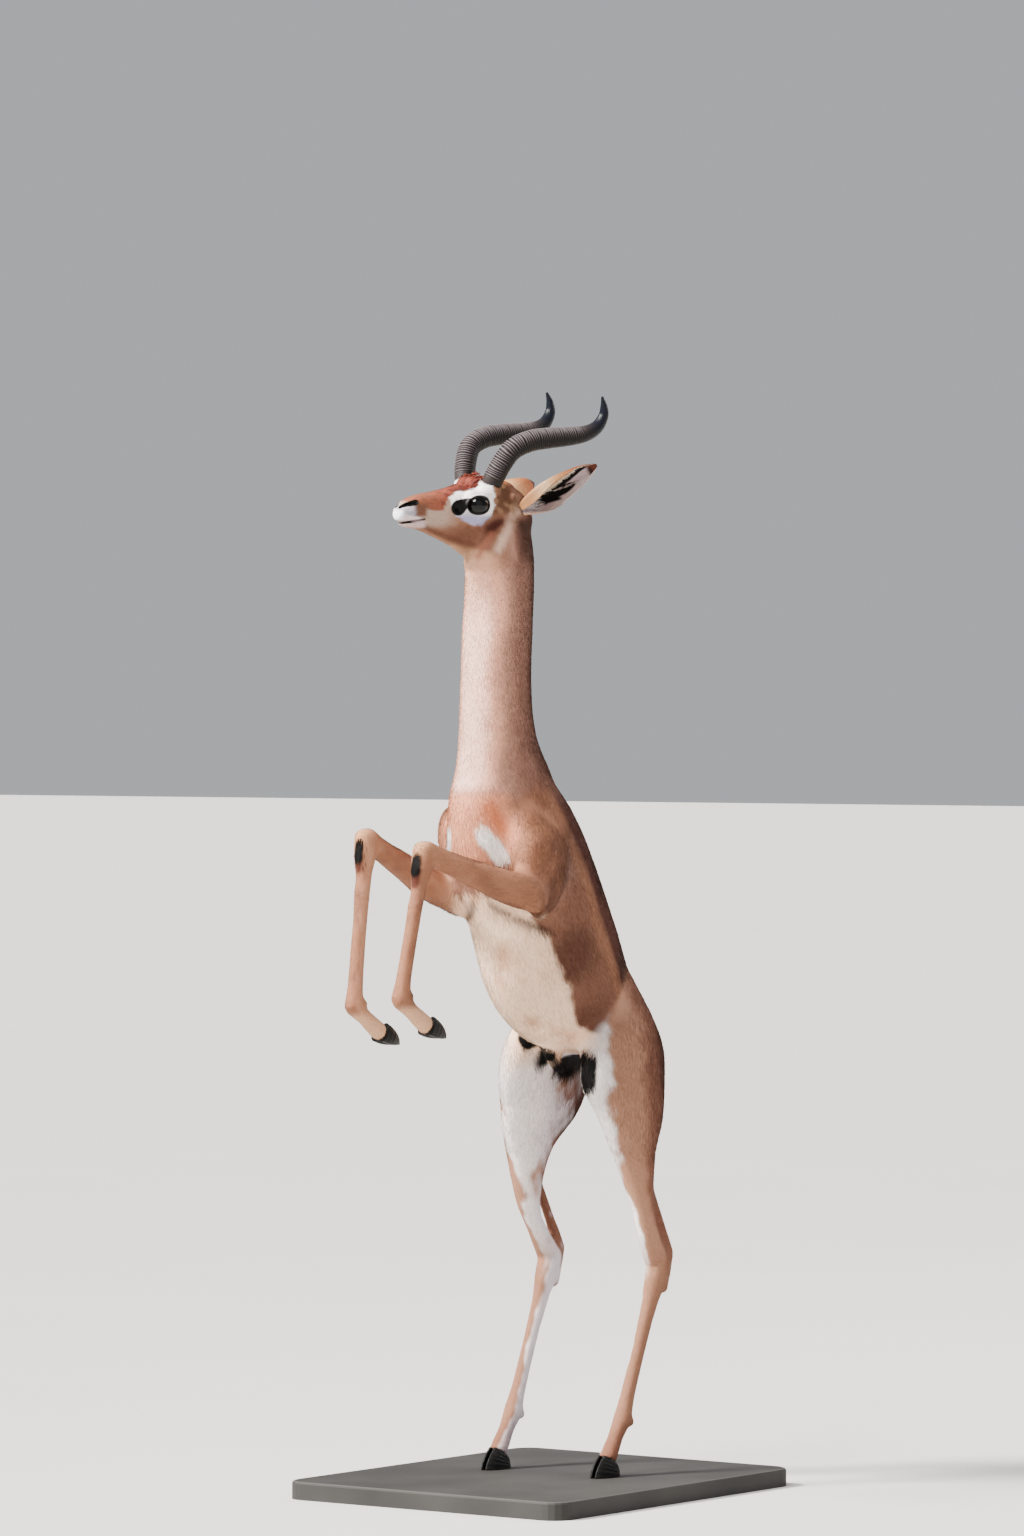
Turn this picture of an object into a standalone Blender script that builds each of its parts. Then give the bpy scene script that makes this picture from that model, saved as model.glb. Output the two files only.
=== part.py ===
"""A male gerenuk, life size, standing upright on its hind legs on a flat display base.

Metres, +Z up. The animal faces -Y and its left side is +X. The origin is the middle of the
base's underside. The body is shaped whole from swept limbs and muscle forms, fused, and then
parted into its named pieces with thin cuts. Horns, eyes, ears, hooves and the tail are pieces
of their own that sit in fitted seats.
"""
import math

import bmesh
import bpy
import numpy as np
from mathutils import Matrix, Vector
from mathutils.bvhtree import BVHTree

# Driving sizes
BASE_TOP = 0.030          # thickness of the display base
BASE_WIDTH = 0.56
BASE_LENGTH = 0.66
BASE_CORNER = 0.035
GAP = 0.0003              # the gap that neighbouring pieces keep
FOOT_FORWARD = -0.165     # where the middle of the base lies, along Y, under the animal

BODY_VOXEL = 0.0036
HEAD_VOXEL = 0.0019
BODY_TRIANGLES = 4740
HEAD_TRIANGLES = 2450

# Joints, above the base's top
HOCK = {1: (0.115, 0.006, 0.335), -1: (0.106, 0.002, 0.335)}
METATARSUS = (0, -0.104, -0.245)
HIND_PASTERN = (0, -0.041, -0.063)
ELBOW = {1: (0.104, -0.3375, 0.956), -1: (0.095, -0.302, 0.955)}
FORE_KNEE = {1: (0.030, -0.521, 1.032), -1: (0.090, -0.5187, 1.0505)}
FORE_FETLOCK = {1: (0.030, -0.585, 0.796), -1: (0.090, -0.552, 0.781)}
FORE_PASTERN = (0, 0.0690, -0.0440)
FORE_CORONET = 22.0       # degrees that a folded fore hoof points below the horizontal
HEAD_PLACE = (0.010, -0.242, 1.578)
HEAD_YAW = 17.0           # degrees that the head turns to the animal's right
HEAD_ROLL = 4.5           # degrees that the left side of the head is lower
HEAD_SCALE = 0.982
NECK_PLANE = 1.492        # height of the joint between neck and head

SIDES = {1: "left", -1: "right"}


def clear_scene():
    for obj in list(bpy.data.objects):
        bpy.data.objects.remove(obj)


def unit(v):
    v = np.asarray(v, float)
    return v / max(np.linalg.norm(v), 1e-12)


def finer(rows, step):
    """Rows of values read along a Catmull-Rom curve through the given rows, about one for each step."""
    rows = np.asarray(rows, float)
    rows = np.vstack([2 * rows[0] - rows[1], rows, 2 * rows[-1] - rows[-2]])
    out = []
    for i in range(1, len(rows) - 2):
        a, b, c, d = rows[i - 1 : i + 3]
        count = max(2, int(round(np.linalg.norm(c[:3] - b[:3]) / step)))
        t = np.arange(count)[:, None] / count
        out.append(0.5 * (2 * b + (c - a) * t + (2 * a - 5 * b + 4 * c - d) * t**2
                          + (3 * b - a - 3 * c + d) * t**3))
    return np.vstack([*out, rows[-2:-1]])


def sweep(rows, side, sides=20, step=0.010, bulge=(0.7, 0.7), power=2.0):
    """A closed tube along rows of x, y, z, half width to the side, and half depths to the two faces.

    The first face looks along tangent x side and the second looks the other way. Each end is
    rounded, bulging by its share of the end's own radius. Returns points and faces.
    """
    rows = finer(rows, step)
    centre, size = rows[:, :3], np.maximum(rows[:, 3:6], 1e-4)
    tangent = np.gradient(centre, axis=0)
    tangent /= np.linalg.norm(tangent, axis=1)[:, None]
    ends = []
    for end, share in ((0, bulge[0]), (-1, bulge[1])):
        outward = tangent[end] * (-1 if end == 0 else 1)
        radius = size[end].mean() * share
        turns = np.radians([78, 55, 28]) if end == 0 else np.radians([28, 55, 78])
        ends.append((centre[end] + np.sin(turns)[:, None] * radius * outward,
                     size[end] * np.cos(turns)[:, None], np.repeat(tangent[end][None], 3, 0)))
    centre = np.vstack([ends[0][0], centre, ends[1][0]])
    size = np.vstack([ends[0][1], size, ends[1][1]])
    tangent = np.vstack([ends[0][2], tangent, ends[1][2]])
    across = np.asarray(side, float) - tangent * (tangent @ np.asarray(side, float))[:, None]
    across /= np.linalg.norm(across, axis=1)[:, None]
    face = np.cross(tangent, across)
    angle = np.arange(sides) * 2 * math.pi / sides
    c, s = np.cos(angle), np.sin(angle)
    c = np.sign(c) * np.abs(c) ** (2 / power)
    s = np.sign(s) * np.abs(s) ** (2 / power)
    depth = np.where(s[None, :] > 0, size[:, 1:2], size[:, 2:3])
    points = (centre[:, None] + across[:, None] * (size[:, 0:1] * c)[..., None]
              + face[:, None] * (depth * s)[..., None]).reshape(-1, 3)
    rings = len(centre)
    first, last = rings * sides, rings * sides + 1
    points = np.vstack([points, centre[0], centre[-1]])
    faces = []
    for i in range(rings - 1):
        for j in range(sides):
            k = (j + 1) % sides
            faces.append((i * sides + j, i * sides + k, (i + 1) * sides + k, (i + 1) * sides + j))
    for j in range(sides):
        k = (j + 1) % sides
        faces.append((first, k, j))
        faces.append((last, (rings - 1) * sides + j, (rings - 1) * sides + k))
    return points, faces


def lump(centre, radii, along=(0, 0, 1), side=(1, 0, 0), sides=14, stations=9):
    """An egg of muscle or bone: radii to the side, across and along."""
    t, reach = unit(along), radii[2]
    stops = np.sin(np.linspace(-1, 1, stations) * math.pi / 2 * 0.86)
    rows = [(*(np.asarray(centre) + t * reach * k), radii[0] * math.sqrt(1 - k * k),
             radii[1] * math.sqrt(1 - k * k), radii[1] * math.sqrt(1 - k * k)) for k in stops]
    return sweep(rows, side, sides, reach / 4, (0.30, 0.30))


def section(x, back_y, back_z, front_y, front_z, width):
    return (*lifted((x, back_y, back_z)), *lifted((x, front_y, front_z)), width)


def barrel(rows, sides=24, step=0.012, bulge=(0.6, 0.6), widest=0.48, power=2.15, side=(1, 0, 0)):
    """A closed body through sections that each run from one end point to the other, with a half width.

    Rows are x, y, z of the first end, x, y, z of the second end and the half width. The widest place
    of a section lies at this share of the way from the first end.
    """
    rows = finer(rows, step)
    first, second, width = rows[:, :3], rows[:, 3:6], rows[:, 6:7]
    centre = first + (second - first) * widest
    run = np.gradient(centre, axis=0)
    run /= np.linalg.norm(run, axis=1)[:, None]
    angle = np.arange(sides) * 2 * math.pi / sides
    c, s = np.cos(angle), np.sin(angle)
    c = np.sign(c) * np.abs(c) ** (2 / power)
    s = np.sign(s) * np.abs(s) ** (2 / power)

    def ring(i, shrink=1.0, out=0.0):
        toward_first, toward_second = first[i] - centre[i], second[i] - centre[i]
        arm = np.where(s[:, None] > 0, toward_first * s[:, None], -toward_second * s[:, None])
        return centre[i] + run[i] * out + shrink * (arm + np.asarray(side) * (width[i] * c)[:, None])

    radius = [0.5 * (width[i][0] + np.linalg.norm(first[i] - second[i]) / 2) * b
              for i, b in ((0, bulge[0]), (-1, bulge[1]))]
    turns = np.radians([28, 55, 78])
    rings = [ring(0, math.cos(t), -math.sin(t) * radius[0]) for t in turns[::-1]]
    rings += [ring(i) for i in range(len(rows))]
    rings += [ring(-1, math.cos(t), math.sin(t) * radius[1]) for t in turns]
    points = np.vstack([*rings, centre[0] - run[0] * radius[0], centre[-1] + run[-1] * radius[1]])
    count = len(rings)
    faces = [(i * sides + j, i * sides + (j + 1) % sides,
              (i + 1) * sides + (j + 1) % sides, (i + 1) * sides + j)
             for i in range(count - 1) for j in range(sides)]
    faces += [(count * sides, (j + 1) % sides, j) for j in range(sides)]
    last = (count - 1) * sides
    faces += [(count * sides + 1, last + j, last + (j + 1) % sides) for j in range(sides)]
    return points, faces


def mesh_object(name, shells):
    """One mesh object from several closed shells."""
    points, faces, start = [], [], 0
    for p, f in shells:
        points.append(np.asarray(p, float))
        faces += [tuple(i + start for i in face) for face in f]
        start += len(p)
    mesh = bpy.data.meshes.new(name)
    mesh.from_pydata(np.vstack(points).tolist(), [], faces)
    obj = bpy.data.objects.new(name, mesh)
    bpy.context.scene.collection.objects.link(obj)
    face_outwards(obj)
    return obj


def closed_rings(name, rings, shells=()):
    """A closed object through rings of equally many points, with a flat face on each end."""
    sides, points = len(rings[0]), np.vstack(rings)
    faces = [(i * sides + j, i * sides + (j + 1) % sides,
              (i + 1) * sides + (j + 1) % sides, (i + 1) * sides + j)
             for i in range(len(rings) - 1) for j in range(sides)]
    faces += [tuple(range(sides))[::-1], tuple(range(len(points) - sides, len(points)))]
    return mesh_object(name, [(points, faces), *shells])


def face_outwards(obj):
    bm = bmesh.new()
    bm.from_mesh(obj.data)
    bmesh.ops.recalc_face_normals(bm, faces=bm.faces)
    bm.to_mesh(obj.data)
    bm.free()


def settle(obj):
    """Replaces the object's mesh by what its modifiers make of it."""
    bpy.context.view_layer.update()
    made = bpy.data.meshes.new_from_object(obj.evaluated_get(bpy.context.evaluated_depsgraph_get()))
    obj.modifiers.clear()
    obj.data = made
    return obj


def fuse(obj, voxel):
    """Joins overlapping shells into one skin of small even faces."""
    remesh = obj.modifiers.new("Fuse", "REMESH")
    remesh.mode = "VOXEL"
    remesh.voxel_size = voxel
    return settle(obj)


def weigh(obj, name, weights):
    """A vertex group with these weights, in steps of a twentieth."""
    group = obj.vertex_groups.new(name=name)
    steps = np.round(np.clip(weights, 0, 1) * 20).astype(int)
    for level in range(1, 21):
        group.add(np.flatnonzero(steps == level).tolist(), level / 20, "REPLACE")
    return group


def soften(obj, weights, rounds):
    weigh(obj, "soft", weights)
    smooth = obj.modifiers.new("Soften", "SMOOTH")
    smooth.vertex_group = "soft"
    smooth.factor = 0.5
    smooth.iterations = rounds
    return settle(obj)


def thin_out(obj, triangles, weights=None):
    """Brings the mesh down to about this many triangles; heavier weights keep more of them."""
    cut = obj.modifiers.new("Thin", "DECIMATE")
    cut.ratio = triangles / (2 * len(obj.data.polygons))
    cut.use_collapse_triangulate = True
    if weights is not None:
        weigh(obj, "keep", weights)
        cut.vertex_group = "keep"
        cut.vertex_group_factor = 4.0
        cut.invert_vertex_group = True
    return settle(obj)


def points_of(obj):
    co = np.empty(len(obj.data.vertices) * 3, np.float32)
    obj.data.vertices.foreach_get("co", co)
    return co.reshape(-1, 3).astype(float)


def put_points(obj, co):
    obj.data.vertices.foreach_set("co", co.astype(np.float32).ravel())
    obj.data.update()


def combine(obj, others, operation):
    """Joins or cuts the object with closed mesh objects, one after the other, which are then removed."""
    for other in others:
        boolean = obj.modifiers.new("Join" if operation == "UNION" else "Cut", "BOOLEAN")
        boolean.operation = operation
        boolean.solver = "MANIFOLD"
        boolean.object = other
        settle(obj)
        bpy.data.objects.remove(other)
    return obj


def pieces_of(obj):
    """The closed surfaces of a mesh, each as points and faces, the largest first."""
    bm = bmesh.new()
    bm.from_mesh(obj.data)
    bm.verts.ensure_lookup_table()
    label = [-1] * len(bm.verts)
    found = []
    for start in bm.verts:
        if label[start.index] >= 0 or not start.link_faces:
            continue
        label[start.index] = len(found)
        stack, members = [start], []
        while stack:
            v = stack.pop()
            members.append(v)
            for e in v.link_edges:
                w = e.other_vert(v)
                if label[w.index] < 0:
                    label[w.index] = len(found)
                    stack.append(w)
        number = {v.index: i for i, v in enumerate(members)}
        faces = {f for v in members for f in v.link_faces}
        faces = sorted(faces, key=lambda f: f.index)
        found.append((np.array([v.co[:] for v in members]),
                      [tuple(number[v.index] for v in f.verts) for f in faces]))
    bm.free()
    return sorted(found, key=lambda piece: -np.prod(np.ptp(piece[0], axis=0)))


def keep_largest(obj):
    points, faces = pieces_of(obj)[0]
    mesh = bpy.data.meshes.new(obj.name)
    mesh.from_pydata(points.tolist(), [], faces)
    obj.data = mesh
    return obj


def trimmed(obj, point, normal):
    """Cuts the mesh with a plane, drops the side that the normal points to, and closes the cut flat."""
    bm = bmesh.new()
    bm.from_mesh(obj.data)
    bmesh.ops.bisect_plane(bm, geom=[*bm.verts, *bm.edges, *bm.faces], dist=1e-6, plane_co=Vector(point),
                           plane_no=Vector(normal), clear_outer=True)
    rim = [e for e in bm.edges if e.is_boundary]
    bmesh.ops.holes_fill(bm, edges=rim)
    bmesh.ops.recalc_face_normals(bm, faces=bm.faces)
    bm.to_mesh(obj.data)
    bm.free()
    return obj


def disc(point, normal, radius, thickness=GAP):
    """A thin round cutter across a limb."""
    n, t = unit(normal), thickness / 2
    side = unit(np.cross(n, (0.31, 0.52, 0.79)))
    up = np.cross(n, side)
    angle = np.arange(16) * math.pi / 8
    ring = np.cos(angle)[:, None] * side * radius + np.sin(angle)[:, None] * up * radius + np.asarray(point)
    points = np.vstack([ring - n * t, ring + n * t])
    faces = [tuple(range(16))[::-1], tuple(range(16, 32))]
    faces += [(i, (i + 1) % 16, 16 + (i + 1) % 16, 16 + i) for i in range(16)]
    return mesh_object("disc", [(points, faces)])


def coloured(obj, rgb, roughness):
    """A plain paint of the piece's own colour."""
    material = bpy.data.materials.get(f"paint_{rgb}") or bpy.data.materials.new(f"paint_{rgb}")
    material.use_nodes = True
    shader = material.node_tree.nodes["Principled BSDF"]
    shader.inputs["Base Color"].default_value = (*rgb, 1)
    shader.inputs["Roughness"].default_value = roughness
    shader.inputs["Metallic"].default_value = 0.0
    obj.data.materials.clear()
    obj.data.materials.append(material)
    return obj


TAN = (0.50, 0.27, 0.14)
HORN_GREY = (0.10, 0.085, 0.08)
HOOF_BLACK = (0.02, 0.018, 0.016)
EYE_BLACK = (0.006, 0.005, 0.005)
BASE_GREY = (0.16, 0.15, 0.14)


def lifted(point):
    """A point given above the base's top, in the part's own frame."""
    x, y, z = point
    return np.array([x, y - FOOT_FORWARD, z + BASE_TOP])


def mirrored(point, side):
    return (point[0] * side, point[1], point[2])


def limb(places, sizes, side, **more):
    """A sweep through places given above the base's top, with a size for each."""
    rows = [(*lifted(mirrored(p, side)), *s) for p, s in zip(places, sizes)]
    return sweep(rows, (1, 0, 0), **more)


def between(a, b, share, shift=(0, 0, 0)):
    return tuple(np.asarray(a) + (np.asarray(b) - np.asarray(a)) * share + np.asarray(shift))


# Trunk and neck. Each row is a section: its back end (y, z), its belly or front end (y, z), half width.

TRUNK = [
    (0.078, 0.728, 0.004, 0.678, 0.044),
    (0.058, 0.772, -0.080, 0.690, 0.070),
    (0.036, 0.812, -0.158, 0.704, 0.086),
    (0.012, 0.856, -0.222, 0.742, 0.096),
    (-0.012, 0.905, -0.268, 0.795, 0.099),
    (-0.041, 0.956, -0.294, 0.858, 0.099),
    (-0.069, 1.006, -0.320, 0.918, 0.098),
    (-0.097, 1.055, -0.352, 0.975, 0.095),
    (-0.126, 1.102, -0.380, 1.030, 0.086),
    (-0.156, 1.142, -0.392, 1.085, 0.066),
]
NECK = [
    (-0.150, 1.095, -0.372, 1.030, 0.076),
    (-0.172, 1.158, -0.386, 1.100, 0.070),
    (-0.197, 1.195, -0.369, 1.158, 0.061),
    (-0.216, 1.236, -0.361, 1.218, 0.0565),
    (-0.224, 1.300, -0.357, 1.295, 0.0545),
    (-0.221, 1.380, -0.353, 1.380, 0.054),
    (-0.216, 1.440, -0.348, 1.440, 0.053),
    (-0.212, 1.505, -0.350, 1.498, 0.050),
    (-0.219, 1.568, -0.338, 1.548, 0.040),
]


def trunk_shells():
    spine = [section(0, *row) for row in TRUNK]
    neck = [section(0, *row) for row in NECK]
    return [barrel(spine, 28, bulge=(0.8, 0.6)), barrel(neck, 26, bulge=(0.7, 0.3)),
            lump(lifted((0, -0.350, 1.065)), (0.046, 0.032, 0.070), (0, -0.15, 0.95)),
            lump(lifted((0, -0.128, 0.678)), (0.015, 0.017, 0.045), (0, -0.75, 0.55)),
            lump(lifted((0, -0.012, 0.640)), (0.026, 0.024, 0.036), (0, 0.1, 1))]


# Legs, as sections of x, back end (y, z), front end (y, z), half width

HINDLEG = {
    1: [(0.042, 0.012, 0.832, -0.080, 0.800, 0.028), (0.070, 0.036, 0.748, -0.128, 0.732, 0.045),
        (0.081, 0.050, 0.697, -0.150, 0.682, 0.048), (0.089, 0.044, 0.642, -0.158, 0.638, 0.046),
        (0.096, 0.033, 0.588, -0.134, 0.598, 0.040), (0.099, 0.022, 0.560, -0.118, 0.570, 0.036),
        (0.102, 0.005, 0.528, -0.104, 0.538, 0.032), (0.106, -0.008, 0.474, -0.074, 0.486, 0.025),
        (0.110, -0.008, 0.424, -0.052, 0.430, 0.0185), (0.113, 0.008, 0.384, -0.040, 0.386, 0.0175),
        (0.115, 0.028, 0.348, -0.022, 0.342, 0.0195)],
    -1: [(0.042, 0.012, 0.832, -0.080, 0.800, 0.028), (0.068, 0.052, 0.748, -0.136, 0.732, 0.045),
         (0.078, 0.068, 0.697, -0.160, 0.682, 0.047), (0.086, 0.076, 0.640, -0.156, 0.638, 0.045),
         (0.094, 0.056, 0.584, -0.140, 0.598, 0.040), (0.097, 0.026, 0.556, -0.134, 0.570, 0.036),
         (0.100, -0.008, 0.526, -0.122, 0.538, 0.032), (0.103, -0.034, 0.472, -0.102, 0.488, 0.025),
         (0.104, -0.036, 0.422, -0.082, 0.432, 0.0185), (0.105, -0.004, 0.380, -0.053, 0.390, 0.0175),
         (0.106, 0.028, 0.346, -0.024, 0.345, 0.0195)],
}


def foreleg_shells(side):
    elbow, knee, fetlock = ELBOW[side], FORE_KNEE[side], FORE_FETLOCK[side]
    shells = [
        lump(lifted(mirrored((0.047, -0.256, 1.068), side)), (0.037, 0.046, 0.104), (0.18, -0.80, -0.56)),
        lump(lifted(mirrored((0.072, -0.296, 1.045), side)), (0.032, 0.044, 0.066), (0.2, -0.1, -1)),
        lump(lifted(mirrored((0.082, -0.275, 0.990), side)), (0.033, 0.050, 0.080), (0.2, -0.45, -0.80)),
        lump(lifted(mirrored(between(elbow, elbow, 0, (-0.012, 0.052, 0.050)), side)),
             (0.030, 0.066, 0.080), (0.12, -0.45, -0.85)),
        lump(lifted(mirrored(between(elbow, elbow, 0, (0.001, 0.020, -0.018)), side)),
             (0.015, 0.017, 0.028), (0, -0.6, 0.75)),
    ]
    upper = [between(elbow, knee, k) for k in (-0.06, 0.04, 0.24, 0.55, 0.86, 1.0)]
    upper_sizes = [(0.026, 0.030, 0.022), (0.032, 0.036, 0.028), (0.030, 0.030, 0.030),
                   (0.022, 0.022, 0.024), (0.018, 0.018, 0.020), (0.021, 0.022, 0.021)]
    shells.append(limb(upper, upper_sizes, side))
    lower = [between(knee, fetlock, k) for k in (-0.02, 0.10, 0.22, 0.50, 0.84, 1.0)]
    lower_sizes = [(0.021, 0.022, 0.021), (0.0200, 0.0205, 0.0185), (0.0150, 0.0150, 0.0140),
                   (0.0126, 0.0134, 0.0130), (0.0130, 0.0134, 0.0140), (0.0165, 0.0165, 0.0180)]
    shells.append(limb(lower, lower_sizes, side, step=0.006))
    shells += pastern_shells(fetlock, FORE_PASTERN, side, (0, 0.55, 0.30))
    return shells


PASTERN_SIZES = ((0.0165, 0.0155, 0.0170), (0.0140, 0.0135, 0.0140), (0.0160, 0.0145, 0.0150),
                 (0.0168, 0.0155, 0.0155), (0.0160, 0.0150, 0.0150))


def pastern_shells(fetlock, reach, side, behind):
    places = [between(fetlock, fetlock, 0, np.asarray(reach) * k) for k in (0, 0.40, 0.78, 1.0, 1.22)]
    shells = [limb(places, PASTERN_SIZES, side, step=0.005)]
    back = unit(behind) * 0.0185
    for claw in (-1, 1):
        place = between(fetlock, fetlock, 0, (claw * 0.0095, back[1], back[2]))
        along = np.asarray(reach) + np.array([claw * 0.008, back[1] * 1.2, back[2] * 1.2])
        shells.append(lump(lifted(mirrored(place, side)), (0.0055, 0.0055, 0.0105), along * (side, 1, 1)))
    return shells


def hindleg_shells(side):
    hock = HOCK[side]
    fetlock = between(hock, hock, 0, METATARSUS)
    rows = [section(x * side, *row) for x, *row in HINDLEG[side]]
    shells = [barrel(rows, 24, bulge=(0.4, 0.5))]
    shells.append(lump(lifted(mirrored((0.050, -0.070, 0.745), side)),
                       (0.034, 0.060, 0.070), (0.2, -0.5, -0.7)))
    shells.append(lump(lifted(mirrored((0.036, 0.050, 0.700), side)), (0.026, 0.026, 0.050), (0, 0.1, -1)))
    heel = between(hock, hock, 0, (0, 0.026, 0.022))
    x, back_y, back_z = HINDLEG[side][7][:3]
    tendon = [(x, back_y - 0.006, back_z), (x * 0.5 + heel[0] * 0.5, back_y * 0.5 + heel[1] * 0.5 - 0.003,
              (back_z + heel[2]) / 2), heel]
    shells.append(limb(tendon, [(0.011, 0.009, 0.012), (0.0090, 0.009, 0.014), (0.0125, 0.011, 0.011)], side))
    shells.append(limb([heel, between(hock, hock, 0, (0, 0.008, -0.036))],
                       [(0.0125, 0.011, 0.011), (0.013, 0.012, 0.012)], side))
    cannon = [between(hock, fetlock, k) for k in (0.0, 0.10, 0.24, 0.52, 0.86, 1.0)]
    cannon_sizes = [(0.0200, 0.0230, 0.0220), (0.0190, 0.0210, 0.0190), (0.0145, 0.0160, 0.0145),
                    (0.0122, 0.0132, 0.0130), (0.0135, 0.0135, 0.0140), (0.0170, 0.0160, 0.0180)]
    shells.append(limb(cannon, cannon_sizes, side, step=0.006))
    shells += pastern_shells(fetlock, HIND_PASTERN, side, (0, 0.9, -0.25))
    return shells


# Hooves

CLAW_RINGS = (  # height share, t of the heel, t of the toe, outer width
    (0.0, -0.0205, 0.0385, 0.0168), (0.12, -0.0210, 0.0380, 0.0176), (0.55, -0.0195, 0.0265, 0.0172),
    (0.90, -0.0178, 0.0165, 0.0166), (1.0, -0.0165, 0.0150, 0.0155),
)
CLAW_SIDES = 12


def coronet(kind, side):
    """The middle of a foot's coronet and the direction in which its hoof leaves it."""
    if kind == "hind":
        fetlock = between(HOCK[side], HOCK[side], 0, METATARSUS)
        place = between(fetlock, fetlock, 0, HIND_PASTERN)
        return lifted(mirrored(place, side)), np.array([0, -0.545, -0.838])
    fetlock, dip = FORE_FETLOCK[side], math.radians(FORE_CORONET)
    return (lifted(mirrored(between(fetlock, fetlock, 0, FORE_PASTERN), side)),
            np.array([0, math.cos(dip), -math.sin(dip)]))


def hind_claw(name, side, outer):
    """One toe of a standing foot: flat below, sloping in front, with its top on the coronet's plane."""
    centre, out = coronet("hind", side)
    height = centre[2] - BASE_TOP - GAP
    phi = np.arange(CLAW_SIDES) * 2 * math.pi / CLAW_SIDES
    rings = []
    for share, heel, tip, width in CLAW_RINGS:
        t = (heel + tip) / 2 + (tip - heel) / 2 * np.cos(phi)
        half = (width - 0.0011) / 2
        taper = 1 - 0.62 * np.clip(np.cos(phi), 0, 1) ** 3
        across = 0.0011 + half * taper + half * taper * np.sign(np.sin(phi)) * np.abs(np.sin(phi)) ** 0.75
        top = (out[1] * t - GAP / 2) / out[2]
        n = -height * (1 - share) + (top - GAP) * share
        rings.append(np.stack([centre[0] + across * outer, centre[1] - t, centre[2] + n], 1))
    return coloured(closed_rings(name, rings), HOOF_BLACK, 0.4)


FORE_CLAW = (  # share of the length, width
    (0.0, 0.0162), (0.18, 0.0172), (0.42, 0.0165), (0.68, 0.0128), (0.88, 0.0075), (1.0, 0.0030))


def fore_claw(name, side, outer):
    """One toe of a folded foot: its sole and its front wall run from the coronet to the tip."""
    centre, out = coronet("fore", side)
    raised = np.array([0, -out[2], out[1]])
    start = centre + out * GAP
    tip = centre + out * 0.0540 - raised * 0.0010
    phi = np.arange(CLAW_SIDES) * 2 * math.pi / CLAW_SIDES
    rings = []
    for share, width in FORE_CLAW:
        bow = raised * (0.0030 * math.sin(math.pi * share))
        sole = start + raised * 0.0165 + (tip - start - raised * 0.0165) * share + bow
        wall = start - raised * 0.0150 + (tip - start + raised * 0.0150) * share - bow
        sole, wall = sole + raised * 0.0010 * share, wall - raised * 0.0010 * share
        middle, arm = (sole + wall) / 2, (sole - wall) / 2
        half = (width - 0.0011) / 2
        across = 0.0011 + half + half * np.sign(np.sin(phi)) * np.abs(np.sin(phi)) ** 0.75
        rings.append(middle + np.cos(phi)[:, None] * arm + (across * outer)[:, None] * np.array([1.0, 0, 0]))
    return coloured(closed_rings(name, rings), HOOF_BLACK, 0.4)


# Head, in its own frame: x forward, y left, z up

def head_axes():
    yaw, roll = math.radians(HEAD_YAW), math.radians(HEAD_ROLL)
    forward = np.array([-math.sin(yaw), -math.cos(yaw), 0])
    left = np.array([math.cos(yaw), -math.sin(yaw), 0])
    up = np.array([0, 0, 1.0])
    return forward, left * math.cos(roll) - up * math.sin(roll), up * math.cos(roll) + left * math.sin(roll)


def on_head(points):
    forward, left, up = head_axes()
    p = np.atleast_2d(np.asarray(points, float)) * HEAD_SCALE
    placed = lifted(HEAD_PLACE) + p[:, 0:1] * forward + p[:, 1:2] * left + p[:, 2:3] * up
    return placed[0] if np.ndim(points) == 1 else placed


def turned(vector):
    forward, left, up = head_axes()
    return vector[0] * forward + vector[1] * left + vector[2] * up


SKULL = [  # top (x, z), bottom (x, z), half width
    (-0.020, 0.012, 0.010, -0.085, 0.026), (0.000, 0.040, 0.046, -0.087, 0.033),
    (0.028, 0.053, 0.082, -0.082, 0.0355), (0.062, 0.058, 0.110, -0.069, 0.0370),
    (0.092, 0.060, 0.132, -0.056, 0.0365), (0.118, 0.0545, 0.150, -0.048, 0.0330),
    (0.142, 0.0462, 0.168, -0.0405, 0.0285), (0.165, 0.0405, 0.186, -0.031, 0.0240),
    (0.190, 0.0355, 0.204, -0.021, 0.0205), (0.213, 0.0312, 0.221, -0.0165, 0.0185),
    (0.232, 0.0238, 0.236, -0.0150, 0.0168), (0.2450, 0.0125, 0.2465, -0.0130, 0.0140),
]
JAW = [
    (0.140, -0.010, 0.152, -0.046, 0.0235), (0.168, -0.010, 0.174, -0.0385, 0.0200),
    (0.190, -0.010, 0.194, -0.0310, 0.0172), (0.209, -0.012, 0.211, -0.0262, 0.0152),
    (0.225, -0.0140, 0.226, -0.0245, 0.0138), (0.2370, -0.0145, 0.2370, -0.0222, 0.0112),
]
EYE = (0.1070, 0.0300, 0.0165)
EYE_RADIUS = 0.0195
LID = 0.0019
EYE_LOOK = (0.36, 0.92, 0.02)
LID_OPENING = (0.0175, 0.0141, 0.0127)    # half width, height above and below the middle


def head_section(top_x, top_z, bottom_x, bottom_z, width):
    return (*on_head((top_x, 0, top_z)), *on_head((bottom_x, 0, bottom_z)), width * HEAD_SCALE)


def head_lump(centre, radii, along=(0, 0, 1), side=(0, 1, 0), twin=True):
    made = []
    for k in (1, -1) if twin else (1,):
        made.append(lump(on_head((centre[0], centre[1] * k, centre[2])), np.asarray(radii) * HEAD_SCALE,
                         turned((along[0], along[1] * k, along[2])), turned(side)))
    return made


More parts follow.
